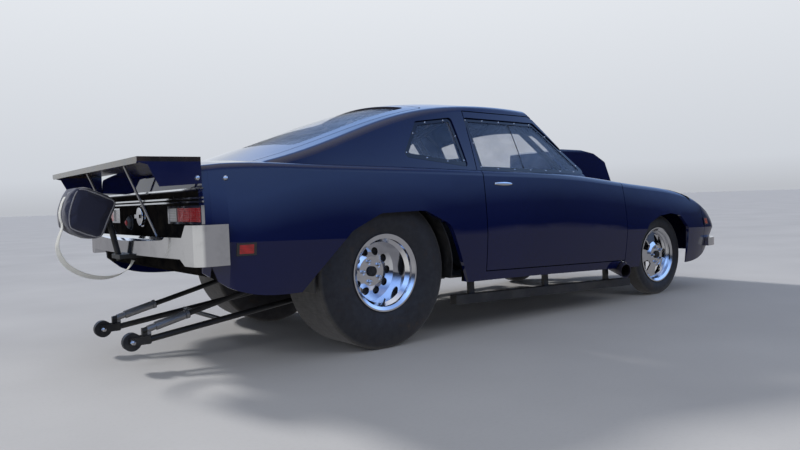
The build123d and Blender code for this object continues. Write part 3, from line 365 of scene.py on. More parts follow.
def outlet_finish(name, colour, bright):
    """Sooty pipe with a bright outlet, and a blue heat tint behind it."""
    f = Finish(name, colour, 0.35, 0.8)
    grain = f.brushed(6, 0.4)
    polished = f.band(f.outboard(), OUTLET_EDGE_Y, OUTLET_EDGE_Y + 0.003)
    tint = f.band(f.outboard(), OUTLET_EDGE_Y - 0.12, OUTLET_EDGE_Y, 0.0, 0.7)
    tone = f.mix(tint, colour, (0.1, 0.085, 0.16))
    tone = f.mix(f.patches(16, 5, 0.45, 0.7, 0.0, 0.6), tone, SOOT)
    rough = f.span(polished, 0.4, 0.14) + f.band(grain, 0.3, 0.7, 0.0, 0.12)
    return f.done(f.mix(polished, tone, bright), rough, grain, 0.0002, 0.4)


def pane_finish(name, colour, alpha):
    """Thin plastic pane: mostly clear, with reflections, dust and a few wipe marks."""
    f = Finish(name, colour, 0.03, 0.0, ior=2.0, coat_weight=1.0, coat_roughness=0.02)
    haze = f.band(f.noise(5, 6, 0.6, f.moved(scale=(2.0, 1.0, 0.5))), 0.4, 0.8)
    f.set("Alpha", f.span(haze, alpha, alpha + 0.1))
    tone = f.mix(haze * 0.5, colour, (0.22, 0.25, 0.3))
    return f.done(tone, f.span(haze, 0.02, 0.09), f.noise(9, 1), 0.0006, 0.25)


def gloss_lens(name, colour):
    """A gloss face over small moulded prisms: the finish, and the prisms' height."""
    f = Finish(name, colour, LENS_ROUGH, 0.0, coat_weight=1.0, coat_roughness=0.04)
    return f, f.axis("Y").math("PINGPONG", PRISM) + f.axis("Z").math("PINGPONG", PRISM)


def lens_finish(name, colour):
    """Moulded lens of one colour."""
    f, facets = gloss_lens(name, colour)
    # Painted shade: darker colour in the prisms' grooves, where the facets are low
    tone = f.mix(f.band(facets, PRISM_LOW, PRISM_HIGH), shade(colour, 0.45), colour)
    return f.done(tone, LENS_ROUGH, facets * 200, 0.0006, 0.6)


def tail_lens_finish(name, red, clear):
    """Red lens, with a clear reversing lens inboard of it."""
    f, facets = gloss_lens(name, red)
    split = f.band(f.outboard(), LAMP_SPLIT_Y - 0.001, LAMP_SPLIT_Y + 0.001)
    # Painted shade: near-black in the prisms' grooves
    groove_shade = f.band(facets, PRISM_LOW, PRISM_HIGH, 0.55, 0.0)
    tone = f.mix(groove_shade, f.mix(split, clear, red), (0.02, 0.004, 0.004))
    return f.done(tone, LENS_ROUGH, facets * 200, 0.0006, 0.6)


def marker_finish(name, red, amber):
    """Side lamps: a lens in a black frame, red at the rear and amber in front."""
    f, facets = gloss_lens(name, red)
    x, z = f.axis("X"), f.axis("Z")
    front = f.band(x, 0.0, 0.01)
    inside = 0.0
    for (low_x, high_x, low_z, high_z), end in (
            (REAR_MARKER, 1 - front), (FRONT_MARKER, front)):
        inside = inside + (f.within(x, low_x + MARKER_RIM_X, high_x - MARKER_RIM_X)
                           * f.within(z, low_z + MARKER_RIM_Z, high_z - MARKER_RIM_Z) * end)
    # Painted shade: near-black in the lens prisms' grooves
    groove_shade = f.band(facets, PRISM_LOW, PRISM_HIGH, 0.5, 0.0)
    lens = f.mix(groove_shade, f.mix(front, red, amber), (0.03, 0.004, 0.002))
    tone = f.mix(inside, (0.012, 0.012, 0.013), lens)
    return f.done(tone, LENS_ROUGH, facets * inside * 200, 0.0006, 0.5)


def woven_finish(name, colour, thread, rough=0.85):
    """Close plain weave read from the piece's own UV map, in metres."""
    f = Finish(name, colour, rough, 0.0, sheen_weight=0.25, sheen_roughness=0.5)
    uv = f.node("ShaderNodeTexCoord", output="UV")
    warp, weft = ((f.axis(way, uv) * (2 * pi / thread)).math("SINE") for way in "XY")
    weave = warp * weft
    wear = f.patches(14, 5, 0.45, 0.8, fine=0.6)
    light = shade(colour, 1.9, 0.012)
    tone = f.mix(f.band(weave, -1, 1, 0.0, 0.5), colour, light)
    return f.done(f.mix(wear * 0.45, tone, light), f.span(wear, rough - 0.1, rough),
                  weave * 0.5 + f.noise(40, 3) * 0.6, 0.0006, 0.5)


def hide_finish(name, colour, rough):
    """Grained vinyl with creases, shinier where it is rubbed."""
    f = Finish(name, colour, rough, 0.0, specular_ior_level=0.45)
    cells = f.node("ShaderNodeTexVoronoi", {"feature": "DISTANCE_TO_EDGE"}, {
        "Vector": f.place, "Scale": 420})
    rub = f.patches(6, 4, 0.45, 0.7)
    return f.done(f.mix(rub * 0.5, colour, shade(colour, 1.8, 0.01)),
                  f.span(rub, rough, rough - 0.14),
                  f.band(cells, 0.0, 0.12) + f.noise(30, 3), 0.0004, 0.5)


def bar_finish(name, colour, bare):
    """Satin black bars whose upper tubes have bare adjuster sleeves near the small wheels."""
    f = Finish(name, colour, 0.4, 0.0)
    x, z = f.axis("X"), f.axis("Z")
    (low_x, low_z), (high_x, high_z) = SLEEVE_LINE
    slope = (high_z - low_z) / (high_x - low_x)
    level = low_z - low_x * slope
    upper = f.band(z - x * slope, level - 0.001, level + 0.001)
    sleeve = upper * f.within(x, SLEEVE_FROM, SLEEVE_TO, 0.002)
    film = f.patches(8, 6, 0.45, 0.75, 0.0, 0.3, fine=0.6)
    grain = f.brushed(9, 0.6)
    metal = f.mix(f.band(grain, 0.35, 0.7), bare, shade(bare, 0.6))
    tone = f.mix(sleeve, f.mix(film, colour, (0.1, 0.095, 0.085)), metal)
    f.set("Metallic", sleeve * 0.9)
    return f.done(tone, f.patches(17, 4, 0.3, 0.7, 0.34, 0.5),
                  f.noise(220, 2) + grain * sleeve, 0.0002, 0.4)


def spoiler_finish(name, colour):
    """Paint on the end plates; on the blade, bare fibre sheet with beige patches of painted
    reflection of the sunlit ground.
    """
    f = Finish(name, colour, 0.25, 0.0, coat_weight=0.25, coat_roughness=0.08)
    plate = f.band(f.outboard(), SPOILER_PLATE_Y - 0.002, SPOILER_PLATE_Y)
    top = f.band(f.axis("Z"), SPOILER_FLANGE_Z, SPOILER_FLANGE_Z + 0.006)
    smoke = f.noise(6, 6, 0.65, f.moved(scale=(1.0, 0.25, 1.0)))
    # Painted reflection: beige patches of sunlit ground on the dark fibre sheet
    fibre_and_reflection = f.mix(f.band(smoke, 0.35, 0.7), (0.03, 0.026, 0.024), (0.11, 0.085, 0.05))
    flange = f.mix(f.band(smoke, 0.4, 0.7), (0.012, 0.011, 0.012), (0.05, 0.028, 0.02))
    tone = f.mix(plate, fibre_and_reflection, f.mix(top, colour, flange))
    return f.done(tone, f.band(smoke, 0.3, 0.75, 0.12, 0.3), f.noise(60, 3), 0.0002, 0.25)


def sided(*names):
    return tuple(f"{name}_{tag}" for name in names for tag in ("left", "right"))


def make_finishes():
    """Each finish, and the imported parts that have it."""
    c = bpy.context.scene.car_colours
    paint, rubber, red = tuple(c.paint), tuple(c.rubber), tuple(c.lens)
    return {
        "paint": (paint_finish("navy_gloss", paint),
                  (*sided("door"), "hood", "hatch", "nose_panel")),
        "shell": (paint_finish("navy_shell", paint, SHELL_HIDDEN_Y, SHELL_HIDDEN_Z),
                  ("body_shell", "fenders")),
        "tail": (paint_finish("navy_tail", paint, TAIL_HIDDEN_Y, TAIL_HIDDEN_Z),
                 ("tail_panel",)),
        "pane": (pane_finish("clear_pane", (0.035, 0.075, 0.2), 0.15),
                 ("fixed_glass", "hatch_glass", *sided("door_glass"))),
        "rear_rubber": (rubber_finish("rear_rubber", rubber, REAR_HUB, REAR_TYRE_R),
                        sided("rear_tyre")),
        "front_rubber": (rubber_finish("front_rubber", rubber, FRONT_HUB, FRONT_TYRE_R),
                         sided("front_tyre")),
        "chrome": (bright_finish("bright_chrome", (0.72, 0.73, 0.75), 0.05),
                   ("rear_bumper", "front_bumper", "tail_trim", "filler_cap")),
        "rear_chrome": (bright_finish("rim_chrome", (0.74, 0.75, 0.78), 0.06, hub=REAR_HUB),
                        sided("rear_rim")),
        "front_polish": (bright_finish("rim_polish", (0.68, 0.69, 0.71), 0.1, hub=FRONT_HUB),
                         sided("front_rim")),
        "black": (coat_finish("satin_black", (0.012, 0.012, 0.013), 0.38, 0.2),
                  ("floor_pan", "ladder_bars", "front_arms", "front_crossmember",
                   "frame_rails", "chute_mount", "roll_cage")),
        "bars": (bar_finish("wheelie_black", (0.013, 0.013, 0.014), (0.42, 0.42, 0.42)),
                 ("wheelie_bars",)),
        "spoiler": (spoiler_finish("spoiler_sheet", paint), ("spoiler",)),
        "steel": (steel_finish("bare_steel", (0.36, 0.36, 0.37), 0.32),
                  ("driveshaft", "spoiler_rods")),
        "exhaust": (outlet_finish("outlet_steel", (0.12, 0.115, 0.11), (0.66, 0.66, 0.66)),
                    ("exhaust",)),
        "iron": (coat_finish("dark_iron", (0.03, 0.029, 0.028), 0.55, 0.4, 180.0, 0.5),
                 ("rear_axle", *sided("knuckle"), "engine_block")),
        "fabric": (woven_finish("pack_cloth", tuple(c.fabric), 0.0016), ("chute_pack",)),
        "webbing": (woven_finish("grey_webbing", tuple(c.webbing), 0.0022, 0.8),
                    ("chute_strap",)),
        "piping": (woven_finish("pack_piping", (0.2, 0.2, 0.22), 0.0012, 0.7), ()),
        "lens": (tail_lens_finish("tail_lens", red, (0.5, 0.5, 0.5)), ("tail_lamps",)),
        "marker": (marker_finish("side_lamp", red, (0.55, 0.09, 0.02)), ("side_markers",)),
        "clear": (lens_finish("clear_lens", (0.55, 0.56, 0.58)), ("headlamps",)),
        "switch_red": (coat_finish("switch_red", (0.42, 0.012, 0.012), 0.3, 0.1, 500.0), ()),
        "trim": (coat_finish("dark_trim", (0.013, 0.013, 0.014), 0.5, 0.25, 420.0),
                 ("grille", "dashboard", "steering_wheel", *sided("wheelie_wheel"))),
        "border": (paint_finish("window_border", (0.002, 0.003, 0.012)), ()),
        "seat": (hide_finish("black_vinyl", (0.016, 0.016, 0.018), 0.5), ("seats",)),
        "cell": (coat_finish("fuel_cell_black", (0.02, 0.02, 0.022), 0.5, 0.3, 90.0),
                 ("fuel_cell",)),
        "zinc": (bright_finish("zinc_fastener", (0.62, 0.62, 0.63), 0.2, 0.12), ()),
    }


FINISH = {}


# Mesh helpers

def linked(name, data):
    """Object with this data, in the scene."""
    made = bpy.data.objects.new(name, data)
    bpy.context.scene.collection.objects.link(made)
    return made


def cover(mesh, finish):
    mesh.materials.clear()
    mesh.materials.append(FINISH[finish])


def new_piece(name, mesh, finish, body):
    piece = linked(name, mesh)
    cover(mesh, finish)
    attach(piece, body)
    return piece


def mesh_of(name, points, faces, smooth=True):
    mesh = bpy.data.meshes.new(name)
    mesh.from_pydata([tuple(p) for p in points], [], faces)
    mesh.validate()
    if smooth:
        mesh.shade_smooth()
    return mesh


def loft(rows, count, closed=False):
    """Faces between rings of count points each, and from the last ring to the first if closed."""
    faces = []
    for k in range(rows if closed else rows - 1):
        near, far = k * count, (k + 1) % rows * count
        for j in range(count):
            m = (j + 1) % count
            faces.append((near + j, near + m, far + m, far + j))
    return faces


def cap(row, count):
    """Face across one ring of a loft."""
    return tuple(row * count + j for j in range(count))


def outward(mesh):
    """Merges doubles and turns every face outwards."""
    shape = bmesh.new()
    shape.from_mesh(mesh)
    bmesh.ops.remove_doubles(shape, verts=shape.verts, dist=1e-6)
    bmesh.ops.recalc_face_normals(shape, faces=shape.faces)
    shape.to_mesh(mesh)
    shape.free()
    return mesh


def applied(piece):
    """Mesh of the piece with its modifiers worked in."""
    graph = bpy.context.evaluated_depsgraph_get()
    return bpy.data.meshes.new_from_object(piece.evaluated_get(graph))


def line_mesh(name, route, steps, radius=0.0, closed=False):
    """Mesh of the smooth line that a route's control points give, as a tube if it has a radius."""
    curve = bpy.data.curves.new(name, "CURVE")
    curve.dimensions = "3D"
    curve.bevel_depth = radius
    curve.bevel_resolution = 3
    curve.use_fill_caps = True
    spline = curve.splines.new("NURBS")
    spline.points.add(len(route) - 1)
    for point, place in zip(spline.points, route):
        point.co = (*place, 1)
    spline.order_u = 3
    spline.use_cyclic_u = closed
    spline.use_endpoint_u = not closed
    spline.resolution_u = steps
    holder = linked(name + "_line", curve)
    bpy.context.view_layer.update()
    mesh = applied(holder)
    bpy.data.objects.remove(holder)
    bpy.data.curves.remove(curve)
    return mesh


def tube(name, route, radius, finish, body, closed=False):
    """Round tube along a smooth line through the control points."""
    mesh = outward(line_mesh(name, route, 6, radius, closed))
    mesh.shade_smooth()
    return new_piece(name, mesh, finish, body)


def route_points(route):
    """Points along the smooth line that control points give."""
    line = line_mesh("route", route, 16)
    points = [v.co.copy() for v in line.vertices]
    bpy.data.meshes.remove(line)
    return points


# Section of a flat woven band, as shares of its width and thickness
BAND_SECTION = ((-0.5, -0.35), (-0.46, -0.5), (0.46, -0.5), (0.5, -0.35),
                (0.5, 0.35), (0.46, 0.5), (-0.46, 0.5), (-0.5, 0.35))


def ribbon(name, path, width, thickness, across=Vector((0, 1, 0)), twist=0.0):
    """Flat woven band along a path, turned by up to twist midway, with a UV map in metres."""
    last, count = len(path) - 1, len(BAND_SECTION)
    points, runs = [], [0.0]
    for k, place in enumerate(path):
        ahead = (path[min(k + 1, last)] - path[max(k - 1, 0)]).normalized()
        turned = Matrix.Rotation(twist * sin(pi * k / last), 3, ahead) @ across
        normal = ahead.cross(turned).normalized()
        if k:
            runs.append(runs[-1] + (place - path[k - 1]).length)
        points += [place + turned * (a * width) + normal * (b * thickness)
                   for a, b in BAND_SECTION]
    faces = loft(len(path), count) + [cap(0, count), cap(last, count)[::-1]]
    mesh = mesh_of(name, points, faces)
    uv = mesh.uv_layers.new(name="UVMap")
    for face in mesh.polygons:
        for loop in face.loop_indices:
            row, spot = divmod(mesh.loops[loop].vertex_index, count)
            uv.data[loop].uv = (BAND_SECTION[spot][0] * width, runs[row])
    return outward(mesh)


class Skin:
    """A surface to lay small parts on."""

    def __init__(self, mesh):
        self.tree = BVHTree.FromPolygons([v.co.copy() for v in mesh.vertices],
                                         [tuple(face.vertices) for face in mesh.polygons])

    @classmethod
    def of_node(cls, name):
        return cls(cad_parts[name].data)

    def hit(self, start, way, lift=0.0):
        """Point at lift over the spot that a ray meets, and the normal there on its side."""
        place, normal, _, _ = self.tree.ray_cast(start, way)
        if place is None:
            raise RuntimeError(f"nothing is met from {tuple(start)} towards {tuple(way)}")
        if normal.dot(way) > 0:
            normal = -normal
        return place + normal * lift, normal


# Stage

# Camera as it was fitted to the photograph: degrees, and millimetres for a 36 mm sensor
CAMERA_YAW, CAMERA_PITCH, CAMERA_ROLL = 37.5, -2.1, -2.0
CAMERA_LENS, CAMERA_SENSOR = 31.5, 36.0
CAMERA_PLACE = at(-2.18, -3.79, 0.79)
FLOOR_HALF = 150
AMBIENT, AMBIENT_STRENGTH = (0.86, 0.91, 1.0, 1), 0.42
# What is seen is a pale backdrop. What polished surfaces mirror is a dark skyline on the
# shaded side, haze beyond the car and sunlit ground behind it, under a blue sky.
# Columns: height in the sky, colour
BACKDROP = ((0.0, (0.5, 0.52, 0.56)), (0.04, (0.62, 0.65, 0.7)), (0.5, (0.93, 0.96, 1.0)))
SKYLINE = ((0.0, (0.26, 0.26, 0.28)), (0.02, (0.03, 0.035, 0.05)), (0.12, (0.06, 0.08, 0.13)),
           (0.30, (0.45, 0.75, 1.5)), (0.5, (0.6, 0.95, 1.7)), (0.72, (0.2, 0.34, 0.75)),
           (1.0, (1.0, 1.0, 1.0)))
HAZE = ((0.0, (0.75, 0.78, 0.82)), (0.5, (0.9, 1.0, 1.15)))
GROUND = ((0.0, (0.6, 0.6, 0.6)), (0.5, (0.6, 0.6, 0.6)))
# Limits of the haze and the ground. Columns: part of the direction, where it starts and is full
BEYOND = (("Y", 0.05, 0.6), ("Z", 0.5, 0.2), ("Z", -0.02, 0.02))
BEHIND = (("X", -0.3, -0.7), ("Z", 0.0, -0.03))
SUN_WAY, SUN_ENERGY, SUN_ANGLE, SUN_COLOUR = (0.40, -1.75, -1.0), 3.4, 6, (1.0, 0.97, 0.92)
FILL_LAMPS = (("fill_side", (0.5, -8.0, 4.6)), ("fill_rear", (-7.0, -2.5, 3.6)))
FILL_SIZE, FILL_POWER, FILL_TARGET = 3.0, 90, Vector((0, 0, 0.6))


class CAR_OT_stage(bpy.types.Operator):
    """Floor, backdrop, lamps and the camera at the photograph's viewing angle."""

    bl_idname = "car.stage"
    bl_label = "Stage"

    def execute(self, context):
        scene = context.scene
        scene.view_settings.view_transform = "Standard"
        self.add_camera(scene)
        self.add_floor()
        self.add_world(scene)
        self.add_lamps()
        return {"FINISHED"}

    def add_camera(self, scene):
        yaw, pitch, roll = (radians(a) for a in (CAMERA_YAW, CAMERA_PITCH, CAMERA_ROLL))
        turn = (Matrix.Rotation(-yaw, 4, "Z") @ Matrix.Rotation(pi / 2 + pitch, 4, "X")
                @ Matrix.Rotation(roll, 4, "Z"))
        lens = bpy.data.cameras.new("view")
        lens.lens = CAMERA_LENS
        lens.sensor_width = CAMERA_SENSOR
        lens.clip_end = 400
        camera = linked("view", lens)
        camera.matrix_world = Matrix.Translation(CAMERA_PLACE) @ turn
        scene.camera = camera

    def add_floor(self):
        corners = [(x * FLOOR_HALF, y * FLOOR_HALF, 0)
                   for x, y in ((-1, -1), (1, -1), (1, 1), (-1, 1))]
        mesh = mesh_of("floor", corners, [(0, 1, 2, 3)], False)
        floor = linked("floor", mesh)
        f = Finish("pale_floor", (0.46, 0.46, 0.47), 0.8)
        grain = f.noise(60, 5, 0.6)
        tone = f.mix(f.patches(0.9, 4, 0.3, 0.7), (0.44, 0.44, 0.45), (0.5, 0.5, 0.51))
        tone = f.mix(f.band(grain, 0.5, 0.8, 0.0, 0.3), tone, (0.38, 0.38, 0.39))
        mesh.materials.append(f.done(tone, 0.8, grain, 0.001, 0.3))
        floor.visible_glossy = False

    def add_world(self, scene):
        world = bpy.data.worlds.new("studio")
        world.use_nodes = True
        scene.world = world
        tree = world.node_tree
        light = tree.nodes["Background"]
        light.inputs["Color"].default_value = AMBIENT
        light.inputs["Strength"].default_value = AMBIENT_STRENGTH
        path = tree.nodes.new("ShaderNodeLightPath")
        seen, through, mirrored = (Field(tree, path.outputs[f"Is {ray} Ray"])
                                   for ray in ("Camera", "Transmission", "Glossy"))
        way = tree.nodes.new("ShaderNodeTexCoord")
        parts = tree.nodes.new("ShaderNodeSeparateXYZ")
        tree.links.new(way.outputs["Generated"], parts.inputs[0])
        last = light.outputs[0]
        for mask, limits, stops in ((mirrored, (), SKYLINE), (mirrored, BEYOND, HAZE),
                                    (mirrored, BEHIND, GROUND),
                                    (seen.math("MAXIMUM", through), (), BACKDROP)):
            for axis, start, full in limits:
                part = Field(tree, parts.outputs[axis])
                mask = mask * (part - start).math("DIVIDE", full - start, clamp=True)
            pick = tree.nodes.new("ShaderNodeMixShader")
            put(tree, pick.inputs[0], mask)
            tree.links.new(last, pick.inputs[1])
            sky = self.add_sky(tree, Field(tree, parts.outputs["Z"]), stops)
            tree.links.new(sky, pick.inputs[2])
            last = pick.outputs[0]
        tree.links.new(last, tree.nodes["World Output"].inputs[0])

    def add_sky(self, tree, height, stops):
        """Background shader graded by height in the sky."""
        sky = tree.nodes.new("ShaderNodeValToRGB")
        for position, _ in stops[2:]:
            sky.color_ramp.elements.new(position)
        for element, (position, colour) in zip(sky.color_ramp.elements, stops):
            element.position = position
            element.color = (*colour, 1)
        put(tree, sky.inputs["Fac"], height)
        shown = tree.nodes.new("ShaderNodeBackground")
        tree.links.new(sky.outputs["Color"], shown.inputs["Color"])
        return shown.outputs[0]

    def add_lamps(self):
        sun = bpy.data.lights.new("sun_key", "SUN")
        sun.energy = SUN_ENERGY
        sun.angle = radians(SUN_ANGLE)
        sun.color = SUN_COLOUR
        self.aim(linked("sun_key", sun), Vector(SUN_WAY))
        for name, place in FILL_LAMPS:
            soft = bpy.data.lights.new(name, "AREA")
            soft.size = FILL_SIZE
            soft.energy = FILL_POWER
            lamp = linked(name, soft)
            lamp.location = place
            self.aim(lamp, FILL_TARGET - Vector(place))

    def aim(self, lamp, way):
        lamp.visible_glossy = False
        lamp.rotation_euler = way.to_track_quat("-Z", "Y").to_euler()


# Parachute

# Route of the parachute strap, the same points as in the part's source
STRAP_ROUTE = ((-1.398, 0, 0.6911), (-1.4224, 0, 0.6363), (-1.416, 0, 0.574),
               (-1.378, 0, 0.508), (-1.300, 0, 0.458), (-1.215, 0, 0.436), (-1.135, 0, 0.444),
               (-1.076, 0, 0.476), (-1.056, 0, 0.518))
STRAP_TWIST = radians(-28)


class CAR_OT_strap(bpy.types.Operator):
    """Parachute strap, a flat webbing band that hangs from the pack to the car."""

    bl_idname = "car.strap"
    bl_label = "Parachute strap"

    def execute(self, context):
        sizes = context.scene.car_sizes
        path = route_points([at(*place) for place in STRAP_ROUTE])
        mesh = ribbon("strap_webbing", path, sizes.strap_width, sizes.strap_thickness,
                      twist=STRAP_TWIST)
        strap = new_piece("strap_webbing", mesh, "webbing", "body")
        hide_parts("chute_strap")
        return {"FINISHED"}


# Parachute pack, shaped in the tilted frame of its own box

PACK_CENTRE = at(-1.288, 0, 0.776)
PACK_LEAN = radians(24)
PACK_HALF_W = 0.124
# Side view of the pack, back and up from its centre
PACK_OUTLINE = ((-0.106, 0.098), (-0.064, 0.114), (0.080, 0.115), (0.106, 0.108), (0.108, 0.074),
                (0.107, -0.017), (0.104, -0.094), (0.080, -0.115), (-0.040, -0.115),
                (-0.066, -0.108), (-0.098, -0.052), (-0.108, 0.020))
# Slices across the pack. Columns: share of its half width, share of the side view
PACK_SLICES = ((-1.0, 0.80), (-0.97, 0.90), (-0.86, 0.955), (-0.5, 0.975), (0.0, 0.98),
               (0.5, 0.975), (0.86, 0.955), (0.97, 0.90), (1.0, 0.80))
CLOTH_VOXEL = 0.006
CLOTH_PRESSURE = 4.0
CLOTH_FRAMES = 18
CLOTH_CAP = 0.007
# Bound edge: radius, share of the half width, and lift over the cloth, with the band's lift
PIPING_R, PIPING_LINE, PIPING_LIFT, BAND_LIFT = 0.0034, 0.93, 0.001, 0.0022
# Points round the back of the pack whose rays to its centre lay the band, x and z
BAND_RAYS = ((-0.030, 0.20), (-0.090, 0.17), (-0.16, 0.115), (-0.20, 0.04), (-0.20, -0.02),
             (-0.18, -0.07), (-0.15, -0.11), (-0.11, -0.16))


def in_pack(x, y, z):
    """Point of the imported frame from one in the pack's own tilted frame."""
    return PACK_CENTRE + Matrix.Rotation(PACK_LEAN, 3, "Y") @ Vector((x, y, z))


def pack_form():
    """Crowned closed form: the side view drawn across, drawn in towards both faces."""
    count, rows = len(PACK_OUTLINE), len(PACK_SLICES)
    points = [in_pack(x * share, across * PACK_HALF_W, z * share)
              for across, share in PACK_SLICES for x, z in PACK_OUTLINE]
    faces = loft(rows, count) + [cap(0, count)[::-1], cap(rows - 1, count)]
    return mesh_of("pack_cloth", points, faces)


def swell(mesh):
    """Blows a closed cloth form up a little, with no point moving further than CLOTH_CAP."""
    holder = linked("swell", mesh)
    remesh = holder.modifiers.new("remesh", "REMESH")
    remesh.mode = "VOXEL"
    remesh.voxel_size = CLOTH_VOXEL
    even = applied(holder)
    holder.modifiers.clear()
    holder.data = even
    start = [v.co.copy() for v in even.vertices]
    cloth = holder.modifiers.new("cloth", "CLOTH")
    cloth.settings.use_pressure = True
    cloth.settings.uniform_pressure_force = CLOTH_PRESSURE
    cloth.settings.effector_weights.gravity = 0.0
    cloth.settings.tension_stiffness = 30
    cloth.settings.compression_stiffness = 30
    cloth.settings.bending_stiffness = 0.6
    for frame_number in range(1, CLOTH_FRAMES + 1):
        bpy.context.scene.frame_set(frame_number)
    blown = applied(holder)
    bpy.data.objects.remove(holder)
    bpy.context.scene.frame_set(1)
    for vertex, first in zip(blown.vertices, start):
        move = vertex.co - first
        if move.length > CLOTH_CAP:
            vertex.co = first + move.normalized() * CLOTH_CAP
    return blown


class CAR_OT_pack(bpy.types.Operator):
    """Parachute pack: stuffed cloth with bound edges and the strap's end sewn down its back."""

    bl_idname = "car.pack"
    bl_label = "Parachute pack"

    def execute(self, context):
        mesh = swell(outward(pack_form()))
        mesh.shade_smooth()
        pack = new_piece("pack_cloth", mesh, "fabric", "body")
        smooth = pack.modifiers.new("smooth", "SUBSURF")
        smooth.levels = smooth.render_levels = 1
        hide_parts("chute_pack")
        skin = Skin(mesh)
        self.add_piping(skin)
        self.add_band(skin, context.scene.car_sizes)
        return {"FINISHED"}

    def laid(self, skin, x, y, z, lift):
        """Point at lift over the cloth that is met from a point round it at y across."""
        start = in_pack(x, y, z)
        return skin.hit(start, (in_pack(0, y, 0) - start).normalized(), lift)[0]

    def add_piping(self, skin):
        """Bound edge round each side face, a few millimetres in from it."""
        for side, tag in SIDES:
            y = side * PACK_HALF_W * PIPING_LINE
            route = [self.laid(skin, x * 2, y, z * 2, PIPING_LIFT) for x, z in PACK_OUTLINE]
            tube(f"pack_piping_{tag}", route, PIPING_R, "piping", "body", closed=True)

    def add_band(self, skin, sizes):
        """Webbing down the back of the pack, from its top edge to where the strap hangs free."""
        route = [self.laid(skin, x, 0, z, BAND_LIFT) for x, z in BAND_RAYS]
        path = route_points(route + [at(*STRAP_ROUTE[0])])
        mesh = ribbon("pack_band", path, sizes.strap_width, sizes.strap_thickness)
        new_piece("pack_band", mesh, "webbing", "body")


# Fasteners

# Kinds of head. Columns: height, sides, share of the width that the crown keeps, finish
HEADS = {
    "screw": (0.003, 14, 0.7, "zinc"),
    "nut": (0.020, 6, 0.82, "zinc"),
    "bolt": (0.005, 6, 0.8, "zinc"),
    "plate": (0.004, 24, 0.92, "trim"),
    "knob": (0.012, 12, 0.7, "switch_red"),
    "plate_screw": (0.002, 8, 0.7, "zinc"),
}


def fastener_tree(material):
    """A head on each point of the mesh it is given, turned to the point's facing attribute."""
    tree = bpy.data.node_groups.new("fastener_heads", "GeometryNodeTree")
    for name, way, kind in (("Geometry", "INPUT", "Geometry"), ("Width", "INPUT", "Float"),
                            ("Height", "INPUT", "Float"), ("Crown", "INPUT", "Float"),
                            ("Sides", "INPUT", "Int"), ("Geometry", "OUTPUT", "Geometry")):
        tree.interface.new_socket(name, in_out=way, socket_type="NodeSocket" + kind)

    def node(kind, **inputs):
        made = tree.nodes.new(kind)
        for key, value in inputs.items():
            put(tree, made.inputs[key.replace("_", " ")], value)
        return made

    def out(made, name=0):
        return Field(tree, made.outputs[name])

    given = node("NodeGroupInput")
    width, height, crown = (out(given, name) for name in ("Width", "Height", "Crown"))
    base = node("GeometryNodeMeshCone", Vertices=out(given, "Sides"), Depth=height,
                Radius_Top=width * 0.5 * crown, Radius_Bottom=width * 0.5)
    ball = node("GeometryNodeMeshUVSphere", Segments=14, Rings=8, Radius=width * 0.5 * crown)
    squash = node("ShaderNodeCombineXYZ", X=1.0, Y=1.0, Z=0.55)
    lift = node("ShaderNodeCombineXYZ", X=0.0, Y=0.0, Z=height)
    dome = node("GeometryNodeTransform", Geometry=out(ball), Translation=out(lift),
                Scale=out(squash))
    head = node("GeometryNodeJoinGeometry")
    for part in (base, dome):
        tree.links.new(part.outputs[0], head.inputs[0])
    facing = node("GeometryNodeInputNamedAttribute", Name="facing")
    facing.data_type = "FLOAT_VECTOR"
    turn = node("FunctionNodeAlignRotationToVector", Vector=out(facing))
    turn.axis = "Z"
    heads = node("GeometryNodeInstanceOnPoints", Points=out(given, "Geometry"),
                 Instance=out(head), Rotation=out(turn))
    solid = node("GeometryNodeRealizeInstances", Geometry=out(heads))
    painted = node("GeometryNodeSetMaterial", Geometry=out(solid), Material=material)
    end = node("NodeGroupOutput")
    tree.links.new(painted.outputs[0], end.inputs[0])
    return tree


def fasteners(name, seats, kind, width, body):
    """Heads of one kind on the seats, each a place and the way it faces."""
    height, sides, crown, finish = HEADS[kind]
    host_mesh = mesh_of(name + "_seats", [place for place, _ in seats], [], False)
    facing = host_mesh.attributes.new("facing", "FLOAT_VECTOR", "POINT")
    for item, (_, way) in zip(facing.data, seats):
        item.vector = way
    host = linked(name + "_seats", host_mesh)
    tree = fastener_tree(FINISH[finish])
    heads = host.modifiers.new("heads", "NODES")
    heads.node_group = tree
    values = {"Width": width, "Height": height, "Crown": crown, "Sides": sides}
    for item in tree.interface.items_tree:
        if item.in_out == "INPUT" and item.name in values:
            heads[item.identifier] = values[item.name]
    mesh = applied(host)
    mesh.name = name
    bpy.data.objects.remove(host)
    return new_piece(name, mesh, finish, body)


# Windows

# Corners of the panes, x from the rear axle and height over the body's own level
DOOR_PANE = ((0.744, 0.968), (1.775, 0.975), (1.380, 1.312), (0.744, 1.300))
QUARTER_PANE = ((0.186, 1.030), (0.652, 0.988), (0.640, 1.292), (0.352, 1.246))
SIDE_CORNER_R = 0.022
# Corners of the other panes, across the car and along the slope from its upper or lower end
HATCH_PANE = ((-0.490, 0.060), (0.490, 0.060), (0.540, 0.900), (-0.540, 0.900))
HATCH_CORNER_R, HATCH_LEAN = 0.060, radians(17)
HATCH_HEAD = (0.470, 1.410)
SHIELD_PANE = ((-0.690, 0.040), (0.690, 0.040), (0.520, 0.560), (-0.520, 0.560))
SHIELD_CORNER_R, SHIELD_LEAN = 0.045, radians(40)
SHIELD_FOOT = (2.024, 0.985)
# Borders: thickness, distance from the pane's edge and skin, and the screws' share of the width
BORDER_THICK, BORDER_INSET, BORDER_LIFT, SCREW_LINE = 0.003, 0.0012, 0.0002, 0.55
# Stiffener on a door's pane: x, height of its foot, and its rise in equal steps
RIB_X, RIB_FOOT, RIB_STEP, RIB_POINTS = 1.137, 0.996, 0.024, 13
RIB_WIDTH, RIB_THICK = 0.007, 0.0024
ARC_STEPS, EDGE_STEP, MIN_CORNER_R = 5, 0.03, 0.006
